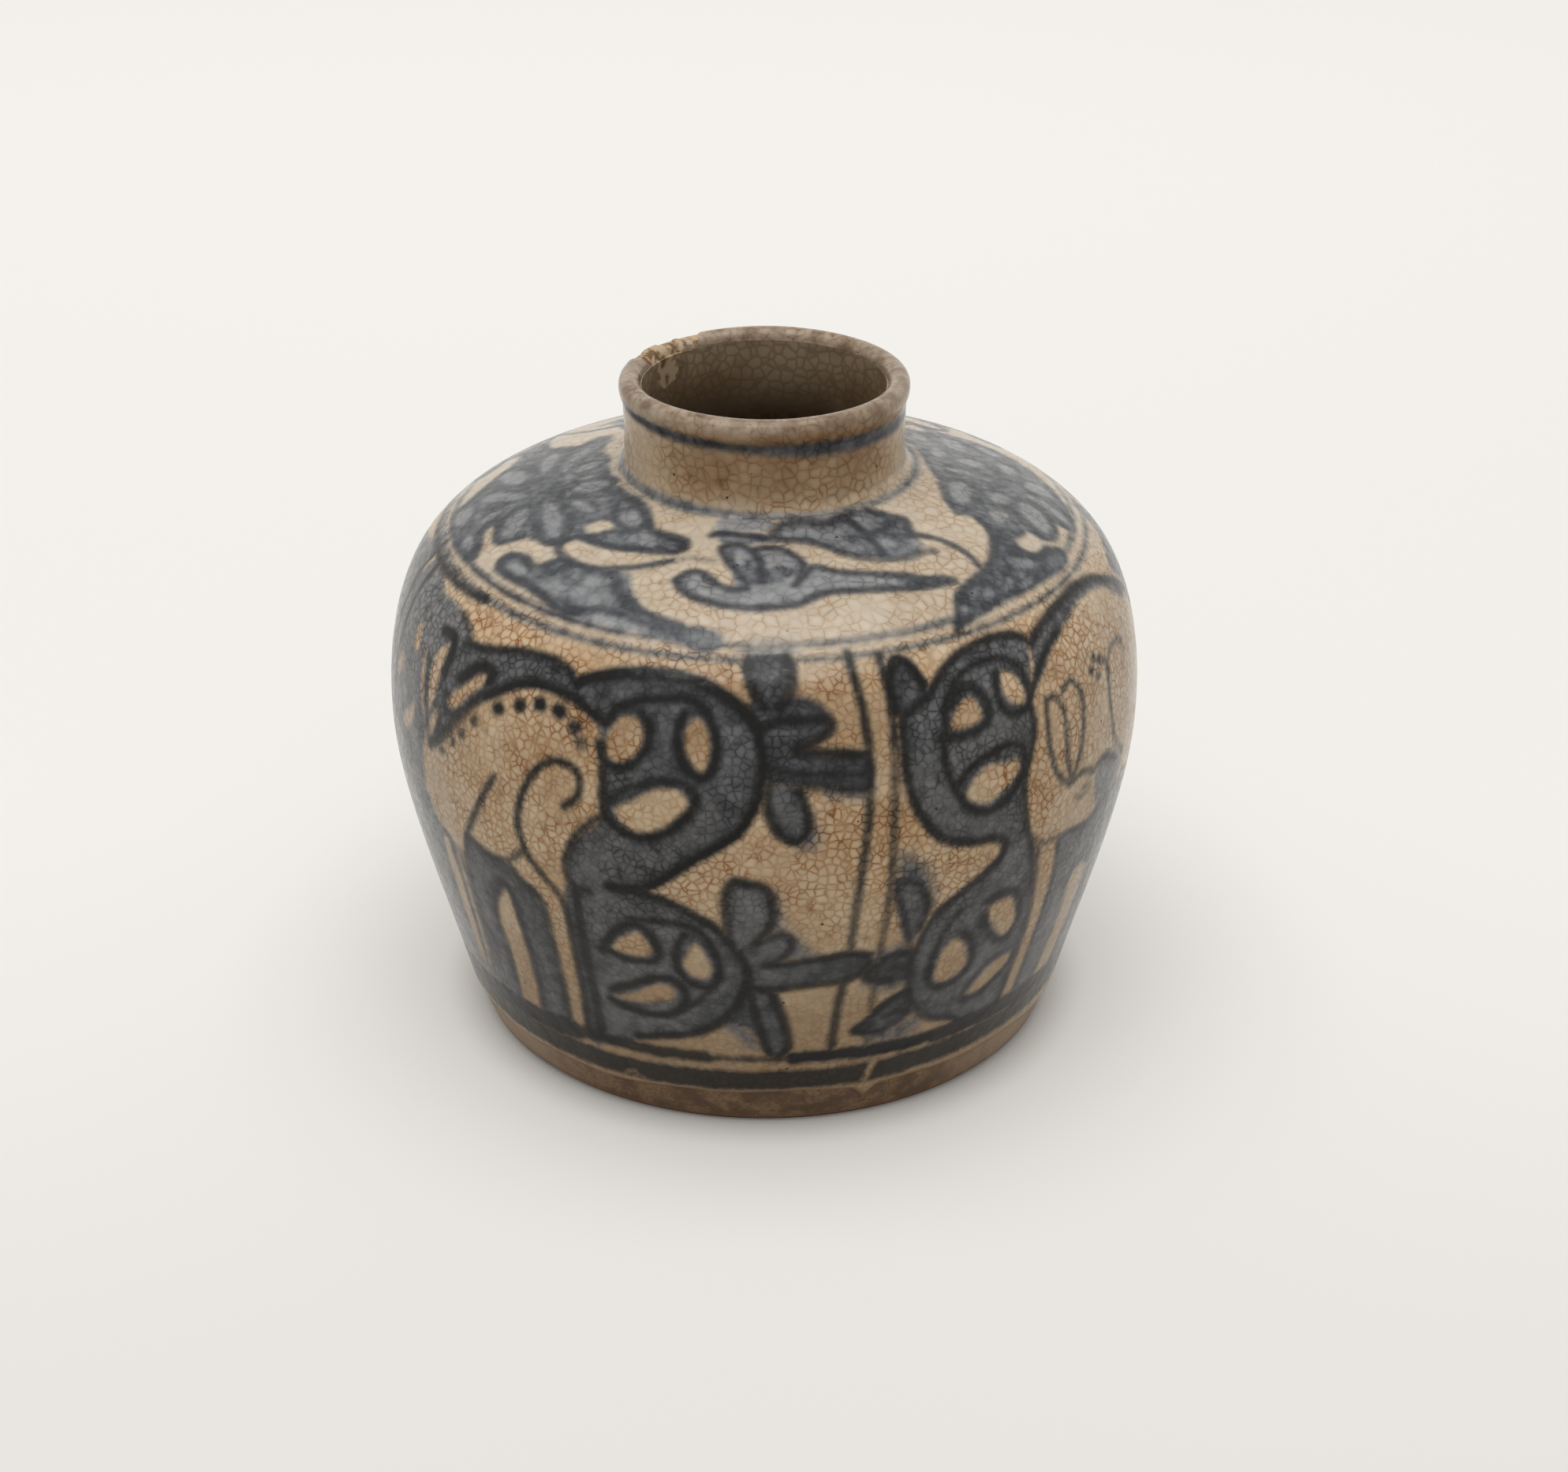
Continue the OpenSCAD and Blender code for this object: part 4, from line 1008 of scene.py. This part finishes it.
def shell(name, first, last, inner_step, material):
    """A closed coat from rows of the skin: the painted outside and a coarser inside."""
    back = list(range(last, first, -inner_step)) + [first]
    spots = np.concatenate([outer[first:last + 1], inner[back]])
    facing = np.concatenate([normals[first:last + 1], -normals[back]])
    count = len(spots)
    row = np.arange(count)[:, None] * COLUMNS
    column = np.arange(COLUMNS)[None, :]
    row_next = (row + COLUMNS) % (count * COLUMNS)
    column_next = (column + 1) % COLUMNS
    corners = [row + column, row + column_next, row_next + column_next, row_next + column]
    faces = np.stack(corners, -1).reshape(-1, 4)
    mesh = bpy.data.meshes.new(name)
    mesh.from_pydata((spots.reshape(-1, 3) * MM).tolist(), [], faces.tolist())
    mesh.polygons.foreach_set("use_smooth", np.ones(len(faces), bool))
    mesh.normals_split_custom_set_from_vertices(facing.reshape(-1, 3).tolist())
    for key in ("line", "ink", "wash", "tint", "up", "rise"):
        grid = field[key].reshape(UP.shape)
        values = np.concatenate([grid[first:last + 1], grid[back]])
        mesh.attributes.new(key, "FLOAT", "POINT").data.foreach_set("value", values.ravel())
    mesh.materials.append(material)
    piece = bpy.data.objects.new(name, mesh)
    bpy.context.scene.collection.objects.link(piece)
    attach(piece, "root")
    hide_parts("outer_glaze")
    return piece


# How uneven the cells of the crackle and the pits are, and the size and amount of the bends in cracks
CELL_UNEVEN = 0.85
BEND_SIZE = 1.5
BEND_AMOUNT = 0.5


class Shader:
    """A node material that is built up call by call."""

    def __init__(self, name):
        self.material = bpy.data.materials.new(name)
        self.material.use_nodes = True
        self.tree = self.material.node_tree
        self.surface = self.tree.nodes["Principled BSDF"]
        coords = self.node("ShaderNodeTexCoord").outputs["Object"]
        scaled = self.node("ShaderNodeVectorMath", {0: coords, "Scale": 1 / MM}, operation="SCALE")
        self.spot = scaled.outputs[0]

    def node(self, kind, inputs=None, **settings):
        made = self.tree.nodes.new(kind)
        for key, value in settings.items():
            setattr(made, key, value)
        for key, value in (inputs or {}).items():
            self.set(made.inputs[key], value)
        return made

    def set(self, socket, value):
        if isinstance(value, bpy.types.NodeSocket):
            self.tree.links.new(value, socket)
        else:
            socket.default_value = value

    def dress(self, **inputs):
        """Sets inputs of the surface, named with underscores for spaces, and gives the material."""
        for key, value in inputs.items():
            self.set(self.surface.inputs[key.replace("_", " ")], value)
        return self.material

    def attribute(self, name):
        return self.node("ShaderNodeAttribute", attribute_name=name).outputs["Fac"]

    def axis(self, letter):
        return self.node("ShaderNodeSeparateXYZ", {0: self.spot}).outputs[letter]

    def math(self, operation, a, b=0.0, c=0.0):
        return self.node("ShaderNodeMath", {0: a, 1: b, 2: c}, operation=operation).outputs[0]

    def times(self, value, *shares):
        """A value times shares."""
        for share in shares:
            value = self.math("MULTIPLY", value, share)
        return value

    def stray(self, value, noise, amount):
        """A value that a noise moves up and down."""
        return self.math("MULTIPLY_ADD", self.math("SUBTRACT", noise, 0.5), amount, value)

    def noise(self, size, detail=2, rough=0.5):
        inputs = {"Vector": self.spot, "Scale": 1 / size, "Detail": detail, "Roughness": rough}
        return self.node("ShaderNodeTexNoise", inputs).outputs["Fac"]

    def cells(self, size, feature="DISTANCE_TO_EDGE", vector=None):
        inputs = {"Vector": vector or self.spot, "Scale": 1 / size, "Randomness": CELL_UNEVEN}
        return self.node("ShaderNodeTexVoronoi", inputs, feature=feature).outputs

    def bent(self):
        """Spots that are moved a little, so that cracks run in bends."""
        noise = self.node("ShaderNodeTexNoise", {"Vector": self.spot, "Scale": 1 / BEND_SIZE})
        inputs = {0: noise.outputs["Color"], 1: [BEND_AMOUNT] * 3, 2: self.spot}
        return self.node("ShaderNodeVectorMath", inputs, operation="MULTIPLY_ADD").outputs[0]

    def ramp(self, value, low, high, start=0, end=1):
        """A share that goes smoothly from start to end as a value goes from low to high."""
        inputs = {"Value": value, "From Min": low, "From Max": high, "To Min": start, "To Max": end}
        return self.node("ShaderNodeMapRange", inputs, interpolation_type="SMOOTHSTEP").outputs["Result"]

    def mix(self, share, a, b, blend="MIX"):
        made = self.node("ShaderNodeMix", data_type="RGBA", blend_type=blend)
        for key, value in ((0, share), (6, a), (7, b)):
            self.set(made.inputs[key], value)
        return made.outputs[2]

    def chipped(self, colour, fine, soft):
        """A colour with bare clay in the chip, and the share of bare clay."""
        nearest = 2 * CHIP_REACH
        for spot in chip_spots:
            gap = self.node("ShaderNodeVectorMath", {0: self.spot, 1: spot}, operation="DISTANCE")
            nearest = self.math("MINIMUM", nearest, gap.outputs["Value"])
        ragged = self.stray(nearest, fine, CHIP_RAGGED)
        bare = self.ramp(ragged, CHIP_REACH - CHIP_WITHIN, CHIP_REACH + CHIP_BEYOND, 1, 0)
        clay = self.mix(self.ramp(soft, 0.45, 0.6), CHIP_CLAY, CHIP_BROWN)
        return self.mix(bare, colour, clay), bare

    def bump(self, height, depth, strength=1, normal=None):
        inputs = {"Height": height, "Distance": depth * MM, "Strength": strength}
        if normal:
            inputs["Normal"] = normal
        return self.node("ShaderNodeBump", inputs).outputs["Normal"]


# Sizes of the patterns in the glaze
FINE_SIZE = 0.9
SOFT_SIZE = 1.8
BLOT_SIZE = 2.4
DRIFT_SIZE = 9
SPECK_SIZE = 0.6
AGE_SIZE = 11
PIT_SIZE = 3.4

# Stretches up the wall over which the ground changes
STAIN_UP = (4, 36)
AGED_UP = (46, 60)
SHOULDER_UP = (63, 70)
PALE_UP = (90.5, 95)
BROWN_UP = (90.5, 96)
LIP_UP = (101.8, 103.8)
# Stretches across the jar, from its middle to its sides and from its front to its back; towards the sides
# the ground pales as painted sheen, and the neck's front is browner partly as painted shade
SIDES_SHEEN = (32, 46)
FRONT_AGED = (-47, -36)
NECK_FRONT_STAIN_AND_SHADE = (-17, -8)
# How far the neck's brown front, partly stain and partly painted shade, is turned to the left, and how
# rough the lip's edge is
NECK_TURN = -0.2
LIP_ROUGH = 1.2

# Depths between which a wash grows paler towards its middle
WASH_POOL = (0.4, 2.8)
# Soft edges of washes and of brush lines, and how rough these edges are
WASH_EDGE = (-0.7, 0.6)
WASH_ROUGH = 0.55
LINE_EDGE = (-0.65, 0.5)
LINE_FINE = 0.16
LINE_ROUGH = 0.34
# Bands are rougher than other lines up to here
BAND_TOP = (8, 12)
BAND_ROUGH = 0.9
# Place up the wall about which brush lines are a little weaker, and how far from it
WEAK_UP = 22
WEAK_REACH = (10, 16)

# Cracks are stained more and more up the wall
CRACKS_UP = (14, 44)
# Dry edge above the heel, how rough it is, and how matt dry and bare places are
DRY_EDGE = (0.6, 1.7)
DRY_ROUGH = 1.2
DRY_MATT = 0.55
# Roughness of the glaze, from place to place
GLAZE_ROUGH = (0.14, 0.26)
# Sizes and depths of the waves and of the fine peel in its surface, and depths of pits and cracks
WAVE_SIZE = 5
WAVE_DEPTH = 0.25
PEEL_SIZE = 1.3
PEEL_DEPTH = 0.03
PIT_DEPTH = 0.1
CRACK_DEPTH = 0.03
CRACK_STRENGTH = 0.12


def glaze_material(name, crackle, cobalt):
    """Crackled buff glaze over cobalt painting, with sizes for its cracks and colours for its painting."""
    look = Shader(name)
    cell, spread, thin, strong, mottle = crackle
    pale, dense, ink = cobalt
    up = look.attribute("up")
    side = look.axis("X")
    front = look.axis("Y")
    fine = look.noise(FINE_SIZE)
    soft = look.noise(SOFT_SIZE)
    blots = look.noise(BLOT_SIZE, 3)
    drift = look.noise(DRIFT_SIZE, 3)

    # Ground, paler on the shoulder, browner on the neck and greyer on the lip, with painted sheen that
    # pales it towards the sides and painted shade in the neck's browner front
    ground = look.mix(look.ramp(drift, 0.35, 0.68), GROUND_PALE, GROUND_TAN)
    ground = look.mix(look.ramp(blots, 0.45, 0.75, 0, 0.35), ground, GROUND_STAIN)
    ground = look.mix(look.ramp(up, *STAIN_UP, 0.75, 0), ground, GROUND_STAIN)
    # Painted sheen: the ground pales towards the sides of the jar
    ground = look.mix(look.ramp(look.math("ABSOLUTE", side), *SIDES_SHEEN, 0, 0.55), ground, SHOULDER_PALE_AND_SHEEN)
    aged = look.times(look.ramp(front, *FRONT_AGED, 0.7, 0), look.ramp(up, *AGED_UP))
    ground = look.mix(aged, ground, GROUND_STAIN)
    ground = look.mix(look.ramp(up, *SHOULDER_UP, 0, 0.95), ground, SHOULDER_PALE_AND_SHEEN)
    ground = look.mix(look.ramp(up, *PALE_UP), ground, GROUND_PALE)
    neck = look.times(look.ramp(up, *BROWN_UP), look.ramp(drift, 0.3, 0.7, 0.5, 0.95))
    # The neck's brown is strongest at its front, partly a stain and partly painted shade
    facing = look.math("MULTIPLY_ADD", side, NECK_TURN, front)
    ground = look.mix(look.times(neck, look.ramp(facing, *NECK_FRONT_STAIN_AND_SHADE, 1, 0.15)), ground, NECK_BROWN)
    lip = look.ramp(look.math("MULTIPLY_ADD", fine, LIP_ROUGH, up), *LIP_UP)
    ground = look.mix(lip, ground, look.mix(look.ramp(blots, 0.35, 0.7), LIP_GREY, LIP_STAIN))
    specks = look.ramp(look.noise(SPECK_SIZE), 0.64, 0.72)
    ground = look.mix(look.times(specks, look.ramp(lip, 0, 1, 0, 0.6)), ground, LIP_SPECK)

    # Washes and brush lines, which have sunk into the glaze and blurred
    wash_depth = look.stray(look.attribute("wash"), soft, WASH_ROUGH)
    pooled = look.ramp(blots, 0.25, 0.75, 0.84, 1.08)
    pooled = look.times(pooled, look.ramp(wash_depth, *WASH_POOL, 1.06, 0.9))
    pooled = look.times(pooled, look.ramp(drift, 0.3, 0.7, 1.1, 0.88))
    pooled = look.times(pooled, look.ramp(soft, 0.32, 0.68, 1 - mottle, 1 + mottle))
    pigment = look.times(look.attribute("tint"), pooled)
    wash_share = look.times(look.ramp(wash_depth, *WASH_EDGE), look.ramp(pigment, 0, 1, 0.76, 0.97))
    colour = look.mix(wash_share, ground, look.mix(pigment, pale, dense))
    line_depth = look.stray(look.attribute("line"), fine, LINE_FINE)
    line_depth = look.stray(line_depth, soft, look.ramp(up, *BAND_TOP, BAND_ROUGH, LINE_ROUGH))
    weak = look.ramp(look.math("ABSOLUTE", look.math("SUBTRACT", up, WEAK_UP)), *WEAK_REACH, 0.92, 1)
    line_share = look.times(look.ramp(line_depth, *LINE_EDGE), look.attribute("ink"), weak)
    colour = look.mix(line_share, colour, ink)

    # Crackle, stained brown along the cracks and grey in the washes, and a few pits
    bent = look.bent()
    gap = look.cells(cell, vector=bent)["Distance"]
    painted = look.math("MAXIMUM", wash_share, line_share)
    chance = look.cells(cell, "F1", bent)["Color"]
    tone = look.stray(1, chance, look.ramp(painted, 0, 1, 0.16, 0.3 * strong))
    colour = look.mix(1, colour, tone, "MULTIPLY")
    age = look.ramp(look.noise(AGE_SIZE, 4, 0.65), 0.36, 0.62, 0.3, 1)
    age = look.times(age, look.ramp(up, *CRACKS_UP, 0.4 * strong, strong), look.ramp(lip, 0, 1, 1, 0.8))
    halo = look.times(look.ramp(gap, 0, spread, 1, 0), age)
    stain = look.mix(painted, look.mix(neck, CRACK_HALO, NECK_HALO), WASH_HALO)
    colour = look.mix(halo, colour, stain, "MULTIPLY")
    core = look.times(look.ramp(gap, 0, thin, 1, 0), age, look.ramp(soft, 0.4, 0.6, 0.3, 1))
    colour = look.mix(core, colour, look.mix(painted, CRACK_CORE, WASH_CORE), "MULTIPLY")
    seeds = look.cells(PIT_SIZE, "F1")
    pits = look.times(look.ramp(seeds["Distance"], 0.04, 0.07, 1, 0), look.ramp(seeds["Color"], 0.55, 0.6))
    colour = look.mix(pits, colour, PIT)

    # Bare clay in the chip, and a dry edge above the heel
    colour, bare = look.chipped(colour, fine, soft)
    dry = look.ramp(look.math("MULTIPLY_ADD", soft, DRY_ROUGH, look.attribute("rise")), *DRY_EDGE, 1, 0)
    colour = look.mix(dry, colour, CLAY_PALE)

    matt = look.times(look.math("MAXIMUM", bare, dry), DRY_MATT)
    rough = look.math("ADD", look.ramp(fine, 0.3, 0.7, *GLAZE_ROUGH), matt)
    wave = look.bump(look.noise(WAVE_SIZE), WAVE_DEPTH)
    peel = look.bump(look.noise(PEEL_SIZE), PEEL_DEPTH, 1, wave)
    holes = look.bump(pits, PIT_DEPTH, -1, peel)
    normal = look.bump(gap, CRACK_DEPTH, CRACK_STRENGTH, holes)
    return look.dress(Base_Color=colour, Roughness=rough, Specular_IOR_Level=GLAZE_GLOSS, Normal=normal)


# Sizes of the patterns in the clay, and the depth of its grit
BLEND_SIZE = 4
GRIT_SIZE = 0.5
GRIT_DEPTH = 0.15
CLAY_PIT_SIZE = 1.6
# Stretch over which it pales to the sides as painted side light, and heights of the rust and of the painted
# contact shade at the foot
CLAY_LIT_SIDES = (19, 36)
RUST_HEIGHT = (0.2, 1.9)
CONTACT_SHADE_HEIGHT = (0.1, 0.8)
# How ragged their edges are, and the clay's own roughness
FOOT_ROUGH = 1.6
CLAY_ROUGH = 0.75


def clay_material(name, pale, dark):
    """Bare fired clay, pitted and stained, with painted light on its sides and painted shade along its
    lowest edge.
    """
    look = Shader(name)
    colour = look.mix(look.ramp(look.noise(BLEND_SIZE, 4, 0.6), 0.4, 0.6), pale, dark)
    grit = look.noise(GRIT_SIZE, 4, 0.7)
    pits = look.ramp(look.cells(CLAY_PIT_SIZE, "F1")["Distance"], 0.08, 0.2, 1, 0)
    colour = look.mix(look.ramp(grit, 0.42, 0.62, 0, 0.75), colour, CLAY_STAIN)
    colour = look.mix(look.times(pits, 0.6), colour, CLAY_PIT_AND_CONTACT_SHADE)
    aside = look.math("ABSOLUTE", look.axis("X"))
    # Painted light: the clay pales towards its sides
    colour = look.mix(look.ramp(aside, *CLAY_LIT_SIDES, 0, 0.75), colour, CLAY_SIDE_LIGHT)
    low = look.stray(look.axis("Z"), grit, FOOT_ROUGH)
    colour = look.mix(look.ramp(low, *RUST_HEIGHT, 0.8, 0), colour, CLAY_RUST)
    # Painted shade along the lowest edge, where the foot meets the floor
    colour = look.mix(look.ramp(low, *CONTACT_SHADE_HEIGHT, 0.8, 0), colour, CLAY_PIT_AND_CONTACT_SHADE)
    return look.dress(Base_Color=colour, Roughness=CLAY_ROUGH, Normal=look.bump(grit, GRIT_DEPTH, 0.6))


# Sizes of the lining's patterns, heights between which it grows dark with painted shade, depth of its
# cracks, and roughness
LINING_SIZE = 8
LINING_CELL = 1.5
LINING_SHADE_HEIGHTS = (74, 87)
LINING_CRACK_DEPTH = 0.05
LINING_ROUGH = 0.3


def lining_material():
    """Plain crackled glaze inside the jar, brown with age, with painted shade deep inside."""
    look = Shader("lining_glaze")
    colour = look.mix(look.ramp(look.noise(LINING_SIZE, 3), 0.35, 0.65), LINING_PALE, LINING_BROWN)
    # Painted shade: the lining darkens deep inside the jar
    colour = look.mix(look.ramp(look.axis("Z"), *LINING_SHADE_HEIGHTS, 1, 0), colour, LINING_SHADE)
    gap = look.cells(LINING_CELL, vector=look.bent())["Distance"]
    colour = look.mix(look.ramp(gap, 0, 0.2, 0.42, 0), colour, LINING_CRACK)
    colour, _ = look.chipped(colour, look.noise(FINE_SIZE), look.noise(SOFT_SIZE))
    normal = look.bump(gap, LINING_CRACK_DEPTH, 0.5)
    return look.dress(Base_Color=colour, Roughness=LINING_ROUGH, Normal=normal)


def seen(tree):
    """One for rays that show a surface, by itself or in a reflection, and nothing for those that light."""
    path = tree.nodes.new("ShaderNodeLightPath")
    total = path.outputs["Is Camera Ray"]
    for name in ("Is Glossy Ray", "Is Transmission Ray"):
        larger = tree.nodes.new("ShaderNodeMath")
        larger.operation = "MAXIMUM"
        tree.links.new(total, larger.inputs[0])
        tree.links.new(path.outputs[name], larger.inputs[1])
        total = larger.outputs[0]
    return total


# Stretches from front to back over which the floor's colour changes with painted shade, darkest in front of
# the jar, its roughness and its gloss
FLOOR_FRONT = (-500, -200)
FLOOR_BESIDE = (-160, 60)
FLOOR_BEHIND = (60, 600)
FLOOR_ROUGH = 0.9
FLOOR_GLOSS = 0.1


def floor_material():
    """Pale matt floor with painted shade near the jar and a painted shadow round its foot, that grows into
    the sky far out.
    """
    look = Shader("pale_floor")
    depth = look.axis("Y")
    colour = look.mix(look.ramp(depth, *FLOOR_BESIDE), FLOOR_NEAR, FLOOR_MID)
    colour = look.mix(look.ramp(depth, *FLOOR_BEHIND), colour, FLOOR_FAR)
    colour = look.mix(look.ramp(depth, *FLOOR_FRONT, 1, 0), colour, FLOOR_FAR)
    radius = look.node("ShaderNodeVectorMath", {0: look.spot}, operation="LENGTH").outputs["Value"]
    colour = look.mix(look.ramp(radius, *FLOOR_FADE), colour, FLOOR_END)
    # Painted shadow: the glow is weaker round the foot
    lift = look.ramp(radius, *SHADOW_GLOW_RADII, SHADOW_GLOW_SHARE, 1)
    lift = look.times(lift, look.ramp(radius, *FLOOR_FADE, FLOOR_LIFT, 1))
    look.dress(Base_Color=colour, Roughness=FLOOR_ROUGH, Specular_IOR_Level=FLOOR_GLOSS)
    return look.dress(Emission_Color=SKY, Emission_Strength=look.times(seen(look.tree), lift))


# Coats of glaze: material, last row, rows for each step of the inside, crackle and painting
seam_row = len(rows_body) - 1
neck_row = seam_row + len(rows_shoulder) - 1
coats = {
    "glaze_body": ("body_glaze", seam_row, 8, BODY_CRACKLE, BODY_COBALT),
    "glaze_shoulder": ("shoulder_glaze", neck_row, 2, SHOULDER_CRACKLE, SHOULDER_COBALT),
    "glaze_neck": ("neck_glaze", len(rows) - 1, 2, NECK_CRACKLE, SHOULDER_COBALT),
}
first_row = 0
for name, (glaze, last_row, inner_step, crackle, cobalt) in coats.items():
    shell(name, first_row, last_row, inner_step, glaze_material(glaze, crackle, cobalt))
    first_row = last_row

# Finishes of the other pieces
clay = clay_material("fired_clay", CLAY_PALE, CLAY_BROWN)
slip = clay_material("fired_slip", SLIP_PALE, SLIP_BROWN)
lining = lining_material()
finishes = {
    "lower_body": clay,
    "upper_body": clay,
    "neck_collar": clay,
    "waist_slip": slip,
    "neck_slip": slip,
    "inner_glaze": lining,
}
for name, material in finishes.items():
    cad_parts[name].material_slots[0].material = material

# Floor
floor_mesh = bpy.data.meshes.new("floor")
corners = [(FLOOR_HALF * x, FLOOR_HALF * y, 0) for x, y in ((-1, -1), (1, -1), (1, 1), (-1, 1))]
floor_mesh.from_pydata(corners, [], [(0, 1, 2, 3)])
floor_mesh.materials.append(floor_material())
floor = bpy.data.objects.new("floor", floor_mesh)
bpy.context.scene.collection.objects.link(floor)

# Light
for name, (power, size, spot) in LAMPS.items():
    lamp_data = bpy.data.lights.new(name, "AREA")
    lamp_data.shape = "RECTANGLE"
    lamp_data.size, lamp_data.size_y = size
    lamp_data.energy = power
    lamp = bpy.data.objects.new(name, lamp_data)
    lamp.location = spot
    lamp.rotation_euler = (math.atan2(-spot[1], spot[2]), 0, 0)
    bpy.context.scene.collection.objects.link(lamp)
world = bpy.data.worlds.new("studio")
world.use_nodes = True
sky = world.node_tree.nodes["Background"]
sky.inputs["Color"].default_value = SKY
bright = world.node_tree.nodes.new("ShaderNodeMapRange")
bright.inputs["To Min"].default_value = WORLD_STRENGTH
world.node_tree.links.new(seen(world.node_tree), bright.inputs["Value"])
world.node_tree.links.new(bright.outputs["Result"], sky.inputs["Strength"])
bpy.context.scene.world = world

# Camera
rise = math.radians(CAMERA_RISE)
camera_data = bpy.data.cameras.new("camera")
camera_data.sensor_fit = "HORIZONTAL"
camera_data.sensor_width = SENSOR_W
camera_data.lens = SENSOR_W * FOCAL_PIXELS / IMAGE_W
camera_data.shift_x = (IMAGE_W / 2 - AXIS_COLUMN) / IMAGE_W
camera_data.clip_start = CAMERA_NEAR
camera = bpy.data.objects.new("camera", camera_data)
back = CAMERA_DISTANCE * math.cos(rise)
camera.location = (0, -back * MM, (CAMERA_TARGET + CAMERA_DISTANCE * math.sin(rise)) * MM)
camera.rotation_euler = (math.pi / 2 - rise, 0, 0)
bpy.context.scene.collection.objects.link(camera)
bpy.context.scene.camera = camera
bpy.context.scene.view_settings.view_transform = "Standard"

bpy.context.view_layer.update()
